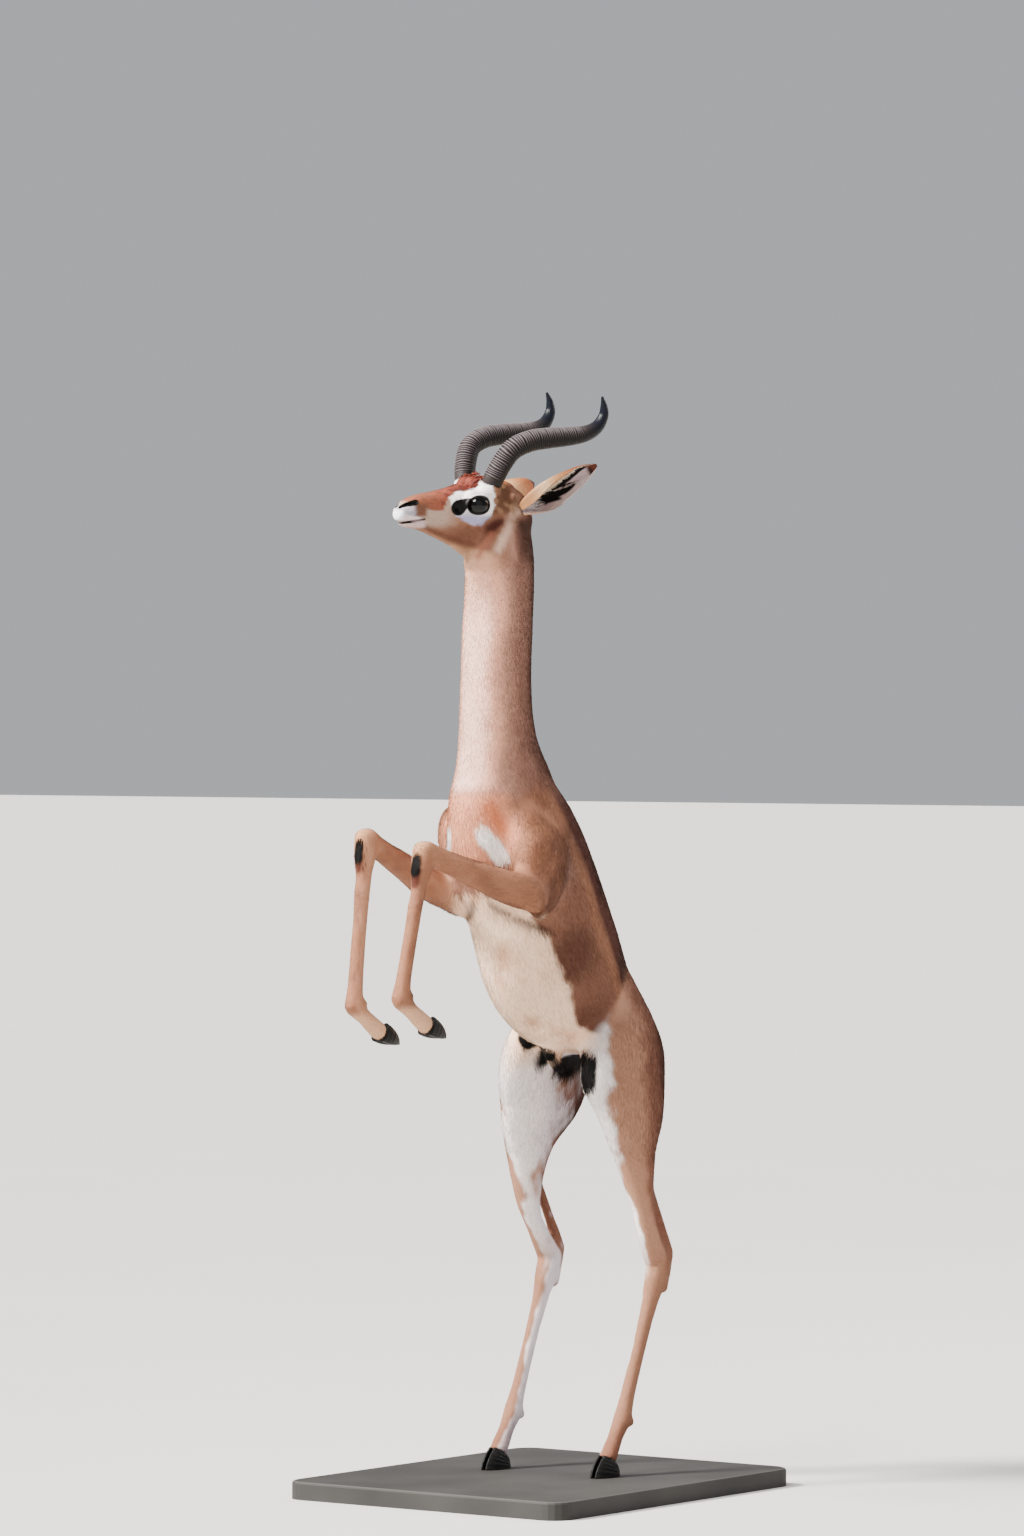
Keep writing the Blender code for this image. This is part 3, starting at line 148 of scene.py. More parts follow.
def new_piece(name, points, *face_sets):
    """An object at the origin from an array of points and arrays of faces, each of one number of corners."""
    mesh = bpy.data.meshes.new(name)
    corners = np.concatenate([faces.ravel() for faces in face_sets]).astype(np.int32)
    sizes = np.concatenate([np.full(len(faces), faces.shape[1]) for faces in face_sets])
    mesh.vertices.add(len(points))
    mesh.vertices.foreach_set("co", np.asarray(points, np.float32).ravel())
    mesh.loops.add(len(corners))
    mesh.loops.foreach_set("vertex_index", corners)
    mesh.polygons.add(len(sizes))
    mesh.polygons.foreach_set("loop_start", (np.cumsum(sizes) - sizes).astype(np.int32))
    mesh.update(calc_edges=True)
    mesh.shade_smooth()
    piece = bpy.data.objects.new(name, mesh)
    bpy.context.scene.collection.objects.link(piece)
    return piece


def quads_of(rows, columns, round_along=0):
    """Quads of a grid of points that closes on itself across and, with round_along 1, along as well."""
    i, j = np.meshgrid(np.arange(rows - 1 + round_along), np.arange(columns), indexing="ij")
    i2, j2 = (i + 1) % rows, (j + 1) % columns
    quads = np.stack([i * columns + j, i * columns + j2, i2 * columns + j2, i2 * columns + j], -1)
    return quads.reshape(-1, 4)


def round_steps(count):
    """Even angles once round."""
    return np.linspace(0, 2 * math.pi, count, endpoint=False)


def with_ends(values):
    """Values of a grid as one list, with the means of its first and its last row at the end."""
    return np.concatenate([values.reshape(-1, *values.shape[2:]), [values[0].mean(0), values[-1].mean(0)]])


def tube_piece(name, grid):
    """A closed piece from a grid that closes on itself across: each end row is closed on its middle."""
    rows, columns = grid.shape[:2]
    j, last = np.arange(columns), (rows - 1) * columns
    k, start = (j + 1) % columns, np.full(columns, rows * columns)
    caps = np.vstack([np.stack([start, k, j], 1), np.stack([start + 1, last + j, last + k], 1)])
    faces = [quads_of(rows, columns), caps]
    outward = (grid[0, 1] - grid[0].mean(0)) @ np.cross(grid[0, 2] - grid[0, 0], grid[1, 1] - grid[0, 1])
    if outward < 0:
        faces = [f[:, ::-1] for f in faces]
    return new_piece(name, with_ends(grid), *faces)


def note(piece, name, values):
    """Stores a number, a colour (four values) or a vector for each point of a piece."""
    values = np.asarray(values, np.float32)
    kind, field = {1: ("FLOAT", "value"), 3: ("FLOAT_VECTOR", "vector"), 4: ("FLOAT_COLOR", "color")}[
        1 if values.ndim == 1 else values.shape[1]]
    piece.data.attributes.new(name, kind, "POINT").data.foreach_set(field, values.ravel())


class Wire:
    """A shader socket in an expression: arithmetic with numbers or other sockets adds the Math nodes."""

    def __init__(self, paint, socket):
        self.paint, self.socket = paint, socket

    def math(self, operation, first, second):
        """A Math node on two values."""
        return self.paint.node("ShaderNodeMath", {"operation": operation}, {0: first, 1: second})

    def __add__(self, other):
        return self.math("ADD", self, other)

    def __sub__(self, other):
        return self.math("SUBTRACT", self, other)

    def __rsub__(self, other):
        return self.math("SUBTRACT", other, self)

    def __mul__(self, other):
        return self.math("MULTIPLY", self, other)

    __radd__, __rmul__ = __add__, __mul__


class Paint:
    """A material in the making, whose fixed values are set on its Principled shader."""

    def __init__(self, name, **fixed):
        self.material = bpy.data.materials.new(name)
        self.material.use_nodes = True
        self.tree = self.material.node_tree
        self.shader = self.tree.nodes["Principled BSDF"]
        for socket, value in fixed.items():
            self.shader.inputs[socket.replace("_", " ")].default_value = value

    def node(self, kind, settings, sockets, out=0):
        """Adds a node: its settings first, then values or wires for its sockets."""
        made = self.tree.nodes.new(kind)
        for name, value in settings.items():
            setattr(made, name, value)
        for key, value in sockets.items():
            if isinstance(value, Wire):
                self.tree.links.new(value.socket, made.inputs[key])
            else:
                made.inputs[key].default_value = value
        return Wire(self, made.outputs[out])

    def mix(self, first, second, share):
        """Two colours mixed by a share."""
        settings = {"data_type": "RGBA", "blend_type": "MIX", "clamp_factor": True}
        first, second = ((*c, 1) if isinstance(c, tuple) else c for c in (first, second))
        return self.node("ShaderNodeMix", settings, {0: share, 6: first, 7: second}, 2)

    def noted(self, name, out="Fac"):
        """A stored value of the piece's points."""
        return self.node("ShaderNodeAttribute", {"attribute_name": name}, {}, out)

    def place(self, scale=(1, 1, 1)):
        """Object coordinates, stretched by a scale."""
        return self.node("ShaderNodeMapping", {}, {
            "Vector": self.node("ShaderNodeTexCoord", {}, {}, "Object"), "Scale": scale})

    def noise(self, scale, place=None, detail=3.0, rough=0.5):
        """Soft random patches, so many to a metre as the scale says."""
        return self.node("ShaderNodeTexNoise", {}, {
            "Vector": place or self.place(), "Scale": scale, "Detail": detail, "Roughness": rough})

    def step(self, value, low, high):
        """0 below low, 1 above high, smooth between."""
        return self.node("ShaderNodeMapRange", {"interpolation_type": "SMOOTHSTEP"},
                         {"Value": value, "From Min": low, "From Max": high})

    def bump(self, height, distance, strength):
        """Relief of the surface: a height from 0 to 1 that rises by the distance."""
        self.feed(Normal=self.node("ShaderNodeBump", {}, {
            "Height": height, "Distance": distance, "Strength": strength}))

    def feed(self, **wires):
        """Links wires to the Principled shader."""
        for socket, wire in wires.items():
            self.tree.links.new(wire.socket, self.shader.inputs[socket.replace("_", " ")])

    def on(self, piece, slot):
        """Puts the finish on a piece. The slot that it is given is not used."""
        piece.data.materials.clear()
        piece.data.materials.append(self.material)


def horn_grid(out):
    """A round profile along the horn's curve. The radius has one wave for each ring, strongest in front,
    and a ring leans a little, so that it lies lower in front than behind."""
    rows = smooth_path([(*on_head((x, y * out, z)), r * HEAD_SCALE) for x, y, z, r in HORN], HORN_GRID[0])
    path, radius = rows[:, :3], rows[:, 3:4]
    share = np.linspace(0, 1, HORN_GRID[0])[:, None]
    angle = round_steps(HORN_GRID[1])[None]
    aside = HEAD_LEFT * out
    along = unit(np.gradient(path, axis=0))
    b = np.cross(unit(aside - along * (along @ aside)[:, None]), along)
    front = np.sin(angle) * np.sign(b[HORN_FRONT_ROW] @ HEAD_FORWARD)
    turn = (share - HORN_RINGS_FROM) / (HORN_RINGS_TO - HORN_RINGS_FROM) * HORN_RINGS
    turn = turn + 0.22 * front + 0.16 * np.sin(turn * 1.7) + 0.10 * np.sin(angle * 3 + turn)
    wave = (0.5 + 0.5 * np.cos(turn * 2 * math.pi)) ** 1.4 - 0.35
    held = np.clip((share - HORN_RINGS_FROM) * 30, 0, 1) * np.clip((HORN_RINGS_TO + 0.03 - share) * 9, 0, 1)
    rise = HORN_RING_RISE * wave * held * (0.35 + 0.65 * np.clip(front + 0.25, 0, 1)) * (radius / 0.018)
    across = (radius + rise) * np.cos(angle) * HORN_FLAT
    ahead = (radius + rise) * np.sin(angle)
    grid = carried(path, aside, across, ahead)
    return grid, share + 0 * angle, wave * held, np.broadcast_to(front, across.shape)


horn_paint = Paint("horn", Specular_IOR_Level=0.14)
reach, ridge, front = (horn_paint.noted(name) for name in ("reach", "ridge", "front"))
grain = horn_paint.noise(1.0, horn_paint.noted("grain", "Vector"), 4.0, 0.6)
horn_paint.bump(grain, 0.0005, 0.8)
body = horn_paint.mix((0.0020, 0.0014, 0.0012), (0.010, 0.0070, 0.0058), horn_paint.step(grain, 0.3, 0.75))
# Painted light: the horn's front is painted lighter than its back.
lit = horn_paint.step(front + 0.25 * grain, -0.10, 1.05)
body = horn_paint.mix(body, (0.030, 0.0225, 0.0225), lit * 0.80)
# Painted highlight: the crests of the rings are pale on the horn's front.
wear_and_highlight = horn_paint.step(ridge, 0.15, 0.55) * horn_paint.step(front, -0.30, 0.9)
body = horn_paint.mix(body, (0.165, 0.140, 0.150), wear_and_highlight * 0.62)
# Painted shade: the grooves between the rings are darker.
body = horn_paint.mix(body, (0.0025, 0.0018, 0.0016), horn_paint.step(ridge, -0.02, -0.26) * 0.90)
tip = horn_paint.step(reach + grain * 0.05, 0.72, 0.88)
horn_paint.feed(Base_Color=horn_paint.mix(body, (0.004, 0.005, 0.009), tip),
                Roughness=0.46 - tip * 0.24 + grain * 0.12)

around = round_steps(HORN_GRID[1])
for word, out in SIDES.items():
    grid, share, wave, front_of = horn_grid(out)
    horn = tube_piece(f"horn_sheath_{word}", grid)
    for key, values in (("reach", share), ("ridge", wave), ("front", front_of)):
        note(horn, key, with_ends(values))
    lay = np.stack(np.broadcast_arrays(np.cos(around)[None] * 11, np.sin(around)[None] * 11, share * 4.0), -1)
    note(horn, "grain", with_ends(lay))
    horn_paint.on(horn, "horn")
    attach(horn, "root")
    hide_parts(f"horn_{word}")


# The floor is one wide pale sheet under the light of a studio: a strong lamp high on the left, a wide weak
# one on the right, one behind, a small one above and before the head, and a pale light from all round.

FLOOR_HALF = 60.0
FLOOR_POINTS = 25                                # along each side
LAMP_COLOUR = (1.0, 0.965, 0.915)
SURROUNDING_COLOUR, SURROUNDING_STRENGTH = (0.93, 0.95, 1.0, 1), 0.50
LAMPS = (  # name, kind, place, aim, width or angle, power
    ("key", "SUN", (-3.2, -4.4, 5.6), (0, 0, 0.9), math.radians(14), 13.5),
    ("fill", "SUN", (4.6, -3.0, 2.4), (0, 0, 0.9), math.radians(60), 0.5),
    ("rim", "AREA", (1.6, 4.4, 3.6), (0, 0, 1.1), 2.4, 150.0),
    ("brow", "AREA", (0.0, -1.75, 3.15), (0, -0.15, 1.6), 0.8, 105.0),
)


def floor_sheet():
    """A flat grid: a sheet of two parameters, its edges far outside every view."""
    edge = np.linspace(-FLOOR_HALF, FLOOR_HALF, FLOOR_POINTS)
    u, v = np.meshgrid(edge, edge, indexing="ij")
    i, j = np.meshgrid(np.arange(FLOOR_POINTS - 1), np.arange(FLOOR_POINTS - 1), indexing="ij")
    a = i * FLOOR_POINTS + j
    faces = np.stack([a, a + FLOOR_POINTS, a + FLOOR_POINTS + 1, a + 1], -1)
    return np.stack([u, v, 0 * u], -1).reshape(-1, 3), faces.reshape(-1, 4)


floor_paint = Paint("floor", Roughness=0.9, Specular_IOR_Level=0.15)
cloud = floor_paint.noise(1.4, detail=2.0)
floor_paint.feed(Base_Color=floor_paint.mix((0.60, 0.585, 0.56), (0.64, 0.625, 0.60), cloud))
floor = new_piece("floor", *floor_sheet())
floor.data.materials.append(floor_paint.material)

for name, kind, place, aim, width, power in LAMPS:
    lamp = bpy.data.lights.new(name, kind)
    lamp.energy = power
    lamp.color = LAMP_COLOUR
    if kind == "SUN":
        lamp.angle = width
    else:
        lamp.size = width
    holder = bpy.data.objects.new(name, lamp)
    holder.location = place
    holder.visible_camera = False
    holder.rotation_euler = (Vector(aim) - Vector(place)).to_track_quat("-Z", "Y").to_euler()
    bpy.context.scene.collection.objects.link(holder)

surroundings = bpy.data.worlds.new("surroundings")
bpy.context.scene.world = surroundings
surroundings.use_nodes = True
sky = surroundings.node_tree.nodes["Background"].inputs
sky["Color"].default_value = SURROUNDING_COLOUR
sky["Strength"].default_value = SURROUNDING_STRENGTH


# The eyes: large dark wet balls, set well to the sides of the head, of which the lids leave an almond free.
# Each ball replaces its solid. The lid's bare black edge is a cord along the almond, lying on the ball.

EYE = mm(107, 30, 16.5)
EYE_RADIUS = 0.0195
EYE_GRID = (48, 64)
EYE_LOOK = (0.36, 0.92, 0.02)
ALMOND = (0.0178, 0.0142, 0.0128)       # half width, height above and below the middle
LID_EDGE = 0.0013                       # thickness of the cord along the lids
LID_GRID = (96, 10)
LID_PROUD = 0.0004                      # its middle over the ball
CORNER_OUT, CORNER_LOW = 0.0022, 0.16   # how far the front corner is drawn out, and how much lower it is


def eye_frame(out):
    """An eye's middle, and as directions in the model where it looks, forward across it and up across it."""
    look = unit(np.array(EYE_LOOK) * (1, out, 1))
    fore = unit(np.array([1, 0, -0.10]) - look * (look @ np.array([1, 0, -0.10])))
    up = np.cross(fore, look) * out
    up = up * np.sign(up[2])
    return on_head(EYE * (1, out, 1)), *(np.array([look, fore, up]) @ HEAD_AXES)


def ball_grid(centre, axis, aside):
    """A sphere: radius * sin v around and radius * cos v along the axis."""
    v = np.linspace(0, math.pi, EYE_GRID[0] + 2)[1:-1, None]
    u = round_steps(EYE_GRID[1])[None]
    b = np.cross(axis, aside)
    return (centre + EYE_RADIUS * (np.cos(v)[..., None] * axis + (np.sin(v) * np.cos(u))[..., None] * aside
                                   + (np.sin(v) * np.sin(u))[..., None] * b))


def almond(angle):
    """Half width and height of the lids' opening at an angle: an ellipse whose upper and lower halves differ
    and whose front corner is drawn out."""
    corner = np.clip(np.cos(angle), 0, 1)
    height = np.where(np.sin(angle) > 0, ALMOND[1], ALMOND[2]) * np.sin(angle)
    return ALMOND[0] * np.cos(angle) + CORNER_OUT * corner**6, height * (1 - CORNER_LOW * corner**2)


def round_almond(points, out):
    """Points seen from an eye's middle: their offset from it, how far they lie up and ahead, and how far out
    across it, as a share of the almond's size."""
    centre, look, fore, up = eye_frame(out)
    v = points - centre
    a, b = v @ fore, v @ up
    return v, b, v @ look, np.sqrt((a / ALMOND[0]) ** 2 + (b / np.where(b > 0, ALMOND[1], ALMOND[2])) ** 2)


eye_paint = Paint("eye", Specular_IOR_Level=0.24)
eye_share = eye_paint.noted("iris")
iris, margin = eye_paint.step(eye_share, 0.35, 0.62), eye_paint.step(eye_share, 0.66, 0.8)
eye_colour = eye_paint.mix((0.0006, 0.0005, 0.0006), (0.0070, 0.0028, 0.0014), iris)
eye_colour = eye_paint.mix(eye_colour, (0.0012, 0.0009, 0.0010), margin)
eye_paint.feed(Base_Color=eye_colour, Roughness=0.06 + 0.04 * eye_share)

lid_paint = Paint("bare_skin", Specular_IOR_Level=0.15)
wrinkle = lid_paint.noise(900.0, detail=3.0)
lid_paint.bump(wrinkle, 0.0003, 0.6)
lid_colour = lid_paint.mix((0.0008, 0.0006, 0.0006), (0.0040, 0.0028, 0.0028), wrinkle)
lid_paint.feed(Base_Color=lid_colour, Roughness=0.34 + 0.2 * wrinkle)

for word, out in SIDES.items():
    centre, look, fore, up = eye_frame(out)
    ball = tube_piece(f"eyeball_{word}", ball_grid(centre, look, fore))
    shares = np.broadcast_to(np.linspace(0, 1, EYE_GRID[0] + 2)[1:-1, None] * 2, EYE_GRID)
    note(ball, "iris", np.concatenate([shares.ravel(), [0, 2]]))
    eye_paint.on(ball, "eye")
    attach(ball, "root")
    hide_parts(f"eye_{word}")
    turn = round_steps(LID_GRID[0])
    across, height = almond(turn)
    rim = EYE_RADIUS + LID_PROUD
    deep = np.sqrt(np.maximum(rim**2 - across**2 - height**2, (0.18 * rim) ** 2))
    line = centre + (deep[:, None] * look + across[:, None] * fore + height[:, None] * up)
    outward = unit(line - centre)
    around = unit(np.roll(line, -1, 0) - np.roll(line, 1, 0))
    beside = np.cross(around, outward)
    phi = round_steps(LID_GRID[1])[None, :, None]
    thick = (LID_EDGE * (1 + 0.35 * np.clip(np.cos(turn), 0, 1) ** 4))[:, None, None]
    cord = line[:, None] + thick * (np.cos(phi) * beside[:, None] * 1.25 + np.sin(phi) * outward[:, None])
    quads = np.roll(quads_of(*LID_GRID, 1), -1, axis=1)
    side_out = np.cross(cord[0, 1] - cord[0, 0], cord[1, 0] - cord[0, 0]) @ (cord[0, 0] - cord[0].mean(0))
    edge = new_piece(f"lid_edge_{word}", cord.reshape(-1, 3), quads if side_out > 0 else quads[:, ::-1])
    lid_paint.on(edge, "coat")
    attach(edge, "root")


# The hooves: two pointed claws of black horn to a foot, which grow from the coronet in faint level rings.
# Those of the hind feet stand on the base, and those of the folded forelegs point back and down.

BASE_TOP = 0.030
GAP = 0.0003
HOCK = {1: mm(115, 6, 335), -1: mm(106, 2, 335)}               # over the soles, left 1 and right -1
METATARSUS = mm(0, -104, -245)
HIND_PASTERN = mm(0, -41, -63)
FORE_FETLOCK = {1: mm(30, -585, 796), -1: mm(90, -552, 781)}
FORE_PASTERN = mm(0, 69, -44)
FORE_CORONET = math.radians(22.0)
HIND_CORONET = (0.545, 0.838)           # sine and cosine of its plane's slope
CLAW_GAP = 0.0011                       # from the foot's middle to each claw's inner side
CLAW_RINGS = (0.012, 34)                # height as a share of the width, and how close
HIND_CLAW = (  # height share, heel, toe, width of a claw
    (0.0, -0.0205, 0.0385, 0.0168), (0.12, -0.0210, 0.0380, 0.0176), (0.55, -0.0195, 0.0265, 0.0172),
    (0.90, -0.0178, 0.0165, 0.0166), (1.0, -0.0165, 0.0150, 0.0155),
)
FORE_CLAW = ((0.0, 0.0162), (0.18, 0.0172), (0.42, 0.0165), (0.68, 0.0128), (0.88, 0.0075), (1.0, 0.0030))
CLAW_GRID = (30, 40)


def finer_rows(rows, count):
    """Rows of numbers read at even steps of their first column, along straight lines rounded a little."""
    rows = np.asarray(rows, float)
    values = between(np.linspace(rows[0, 0], rows[-1, 0], count), rows[:, 0], rows)
    for _ in range(count // 12):
        values[1:-1, 1:] = 0.25 * values[:-2, 1:] + 0.5 * values[1:-1, 1:] + 0.25 * values[2:, 1:]
    return values


def half_oval(phi, width):
    """Across a claw: flat towards the other claw and round on its outer side."""
    half = (width - CLAW_GAP) / 2
    return half * np.sign(np.sin(phi)) * np.abs(np.sin(phi)) ** 0.75, half


def hind_claw(side, outer):
    """Level rings from the sole to the sloping plane of the coronet; each is longer than wide and pointed
    in front."""
    centre = HOCK[side] * (side, 1, 1) + METATARSUS + HIND_PASTERN + FOOT
    share, heel, toe, width = finer_rows(HIND_CLAW, CLAW_GRID[0]).T[:, :, None]
    phi = round_steps(CLAW_GRID[1])[None]
    t = (heel + toe) / 2 + (toe - heel) / 2 * np.cos(phi)
    swing, half = half_oval(phi, width)
    across = CLAW_GAP + (half + swing) * (1 - 0.62 * np.clip(np.cos(phi), 0, 1) ** 3)
    ridge = 1 + CLAW_RINGS[0] * np.sin(share * CLAW_RINGS[1])
    top = (HIND_CORONET[0] * t + GAP / 2) / HIND_CORONET[1]
    low = -(centre[2] - BASE_TOP - GAP)
    rise = low * (1 - share) + (top - GAP) * share
    return centre + np.stack([across * outer * ridge, -t * ridge, rise], -1)


def fore_claw(side, outer):
    """Rings from the coronet to the tip, between the line of the sole and that of the front wall."""
    centre = FORE_FETLOCK[side] * (side, 1, 1) + FORE_PASTERN + FOOT
    out = np.array([0, math.cos(FORE_CORONET), -math.sin(FORE_CORONET)])
    raised = np.array([0, -out[2], out[1]])
    share, width = finer_rows(FORE_CLAW, CLAW_GRID[0]).T[:, :, None]
    phi = round_steps(CLAW_GRID[1])[None]
    start, tip = centre + out * GAP, centre + out * 0.0540 - raised * 0.0010
    bow = raised * 0.0030 * np.sin(math.pi * share)[..., None]
    sole = start + raised * 0.0165 + (tip - start - raised * 0.0155) * share[..., None] + bow
    wall = start - raised * 0.0150 + (tip - start + raised * 0.0140) * share[..., None] - bow
    swing, half = half_oval(phi, width)
    across = (CLAW_GAP + half + swing) * outer * (1 + CLAW_RINGS[0] * np.sin(share * CLAW_RINGS[1]))
    ring = (sole + wall) / 2 + np.cos(phi)[..., None] * (sole - wall) / 2
    return ring + across[..., None] * np.array([1.0, 0, 0])


hoof_paint = Paint("hoof", Specular_IOR_Level=0.16)
level = hoof_paint.noted("height")
streak = hoof_paint.noise(240.0, hoof_paint.place((1, 1, 0.2)), 3.0)
rings = hoof_paint.noise(60.0, hoof_paint.node("ShaderNodeCombineXYZ", {}, {2: level}), 1.0)
hoof_paint.bump(rings + streak * 0.4, 0.0012, 0.5)
# Wear: the hoof is lighter at the sole of the hind claws and at the tips of the fore claws.
wear_and_highlight = hoof_paint.step(level + streak * 0.10, 0.16, 0.04)
black = hoof_paint.mix((0.0008, 0.0008, 0.0009), (0.0045, 0.0040, 0.0038), streak)
hoof_paint.feed(Base_Color=hoof_paint.mix(black, (0.040, 0.034, 0.029), wear_and_highlight * 0.6),
                Roughness=0.34 + streak * 0.25)
for kind, claw in (("hind", hind_claw), ("fore", fore_claw)):
    for word, side in SIDES.items():
        for which, outer in (("outer", side), ("inner", -side)):
            piece = tube_piece(f"claw_{kind}_{word}_{which}", claw(side, outer))
            shares = np.broadcast_to(np.linspace(0, 1, CLAW_GRID[0])[:, None], CLAW_GRID)
            note(piece, "height", with_ends(shares if kind == "hind" else 1 - shares))
            hoof_paint.on(piece, "hoof")
            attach(piece, "root")
            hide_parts(f"hoof_{kind}_{word}_{which}")


# The skin: one closed surface over trunk, neck, head, legs and tail. It is drawn from copies of the solids,
# which are melted together, smoothed as much as each part is thick, and let in by the depth of the coat.

LEG_PARTS = "foreleg_forearm", "foreleg_cannon", "hindleg_thigh", "hindleg_shank", "hindleg_cannon"
FLESH = ["torso", "neck", "head", "tail"] + [f"{part}_{word}" for part in LEG_PARTS for word in SIDES]
BODY_CELL, HEAD_CELL = 0.0026, 0.00135
BODY_TRIANGLES, HEAD_TRIANGLES = 96000, 92000
SEAM = 1.492 + FOOT[2]                 # height of the joint between neck and head
OVERLAP, STUB = 0.034, 0.062           # how far the neck runs on in the head's shell, and the head's below it
LAP = 0.008                            # how far each shell starts to sink before the joint
NECK_MIDDLE = np.array([0, -0.287 + FOOT[1]])      # at the joint
ARM_LINE, ARM_WIDTH = mm((105, -245, 955), (100, -215, 1040), (80, -230, 1110)), 0.055
KNEES = {1: mm(30, -521, 1032), -1: mm(-90, -519, 1050)}
KNEE_BRUSH = mm(0, -30, -60)           # from the knee to the lower end of its locks
TAIL_CORE = 0.0055                     # radius of the tail inside its tuft
CROWN, BROW = (mm(104, 0, 50), mm(28, 27, 22)), (mm(97, 36, 46), mm(24, 15, 13))    # middle and half sizes
CHAINS = {  # each a line through the middle of a part: x, y, z over the soles, and the radius there
    "neck": mm((4, -318, 1565, 45), (0, -290, 1500, 55), (0, -288, 1440, 62), (0, -289, 1300, 66),
               (0, -285, 1200, 78), (0, -268, 1110, 105)),
    "trunk": mm((0, -268, 1110, 105), (0, -253, 1066, 125), (0, -224, 1015, 138), (0, -195, 962, 142),
                (0, -168, 907, 142), (0, -140, 850, 142), (0, -105, 800, 135), (0, -61, 758, 118),
                (0, -11, 735, 90), (0, 35, 725, 55)),
    "hind": mm((50, -30, 770, 75), (75, -45, 700, 95), (90, -52, 640, 88),
               (100, -50, 565, 66), (104, -42, 480, 36), (111, -22, 420, 25),
               (115, 4, 350, 22), (115, 0, 320, 20), (115, -55, 195, 14),
               (115, -98, 90, 16), (115, -118, 55, 15), (115, -142, 20, 16)),
    "fore": mm((60, -262, 1080, 80), (85, -290, 1010, 62), (100, -330, 962, 40),
               (90, -380, 978, 32), (65, -450, 1003, 26), (30, -521, 1032, 22),
               (30, -553, 914, 13.5), (30, -585, 796, 16.5), (30, -550, 774, 14.5),
               (30, -508, 745, 16)),
    "tail": mm((0, 40, 775, 16), (0, 82, 742, 12.5), (0, 100, 700, 11), (0, 106, 650, 9.5),
               (0, 107, 610, 10.5), (0, 105, 575, 11.5), (0, 100, 530, 8), (0, 97, 490, 3.5)),
}
FACE_CHAIN = mm((250, 0, -2, 18), (200, 0, 0, 24), (150, 0, 4, 32), (100, 0, 10, 44),
                (50, 0, 12, 48), (15, 0, 4, 50))
RIGHT_SHIFT = {  # how far each row of the right leg lies from the left one's, before it is mirrored
    "hind": mm(*3 * [(0, 0, 0, 0)], (-4, -5, 0, 0), (-3, -26, 0, 0), (-6, -22, 0, 0), *6 * [(-9, -4, 0, 0)]),
    "fore": mm(*2 * [(0, 0, 0, 0)], (-9, 28, 0, 0), (-2, 12, 4, 0), (20, 6, 10, 0), (60, 2.3, 18.5, 0),
               (60, 18, 2, 0), *3 * [(60, 33, -15, 0)]),
}


def bones():
    """All parts' middle lines as short pieces: start, end, length run before it, and number of the line. A
    start or end is a place and the radius there."""
    lines = [np.array([(*on_head(row[:3]), row[3]) for row in FACE_CHAIN])]
    for name, rows in CHAINS.items():
        lines.append(rows + (*FOOT, 0))
        if name in RIGHT_SHIFT:
            lines.append((lines[-1] + RIGHT_SHIFT[name]) * (-1, 1, 1, 1))
    starts = np.vstack([line[:-1] for line in lines])
    ends = np.vstack([line[1:] for line in lines])
    lengths = [np.linalg.norm(np.diff(line[:, :3], axis=0), axis=1) for line in lines]
    run = np.concatenate([np.cumsum(length) - length for length in lengths])
    number = np.concatenate([np.full(len(length), i) for i, length in enumerate(lengths)])
    return starts, ends, run, number


def listed(values, key, kind=np.int32):
    """One value or three of each item in a mesh's list, such as its points' places, as rows."""
    wide = 1 if key == "vertex_index" else 3
    found = np.empty(len(values) * wide, kind)
    values.foreach_get(key, found)
    return found.reshape(-1, wide)


def evaluated(piece):
    """A piece's mesh with its modifiers carried out."""
    bpy.context.view_layer.update()
    return piece.evaluated_get(bpy.context.evaluated_depsgraph_get()).to_mesh()


def dropped(piece):
    """Removes a piece that was only needed on the way."""
    mesh = piece.data
    bpy.data.objects.remove(piece)
    bpy.data.meshes.remove(mesh)


def summed(index, values, count):
    """For each of count places, the sum of the rows that the index gives to it."""
    return np.stack([np.bincount(index, values[:, k], count) for k in range(3)], 1)


def laid(points):
    """For each point: the flow of the coat, a blend of the middle lines' directions, each weighed by how deep
    in its part the point lies; the thickness there; its distance from each line, as a share of the radius;
    the run along each line; and the angle around the nearest one."""
    starts, ends, run, number = bones()
    flow, weight, thick = np.zeros_like(points), np.zeros(len(points)), np.zeros(len(points))
    depths = np.full((len(points), number[-1] + 1), np.inf)
    runs, angle, nearest = np.zeros_like(depths), np.zeros(len(points)), np.full(len(points), np.inf)
    for a, b, before, line in zip(starts, ends, run, number):
        along = b[:3] - a[:3]
        length = np.linalg.norm(along)
        share = np.clip((points - a[:3]) @ along / length**2, 0, 1)
        off = points - a[:3] - share[:, None] * along
        radius = a[3] + (b[3] - a[3]) * share
        depth = np.linalg.norm(off, axis=1) / radius
        w = np.maximum(depth, 0.2) ** -7.0
        flow += w[:, None] * along / length
        thick += w * radius
        weight += w
        aside = unit(np.cross(along, (0.31, 0.95, 0.05)))
        turn = np.arctan2(off @ np.cross(along / length, aside), off @ aside)
        angle = np.where(depth < nearest, turn, angle)
        nearest = np.minimum(depth, nearest)
        runs[:, line] = np.where(depth < depths[:, line], before + share * length, runs[:, line])
        depths[:, line] = np.minimum(depth, depths[:, line])
    return unit(flow), thick / weight, depths, runs, angle


def faces_of(node):
    """A solid's corners, each once, and its triangles."""
    co = listed(node.data.vertices, "co", np.float32)
    _, first, same = np.unique(np.round(co * 2e5).astype(np.int64), axis=0, return_index=True,
                               return_inverse=True)
    faces = same.ravel()[listed(node.data.loops, "vertex_index").reshape(-1, 3)]
    whole = (faces[:, 0] != faces[:, 1]) & (faces[:, 1] != faces[:, 2]) & (faces[:, 0] != faces[:, 2])
    return co[first].astype(float), faces[whole]


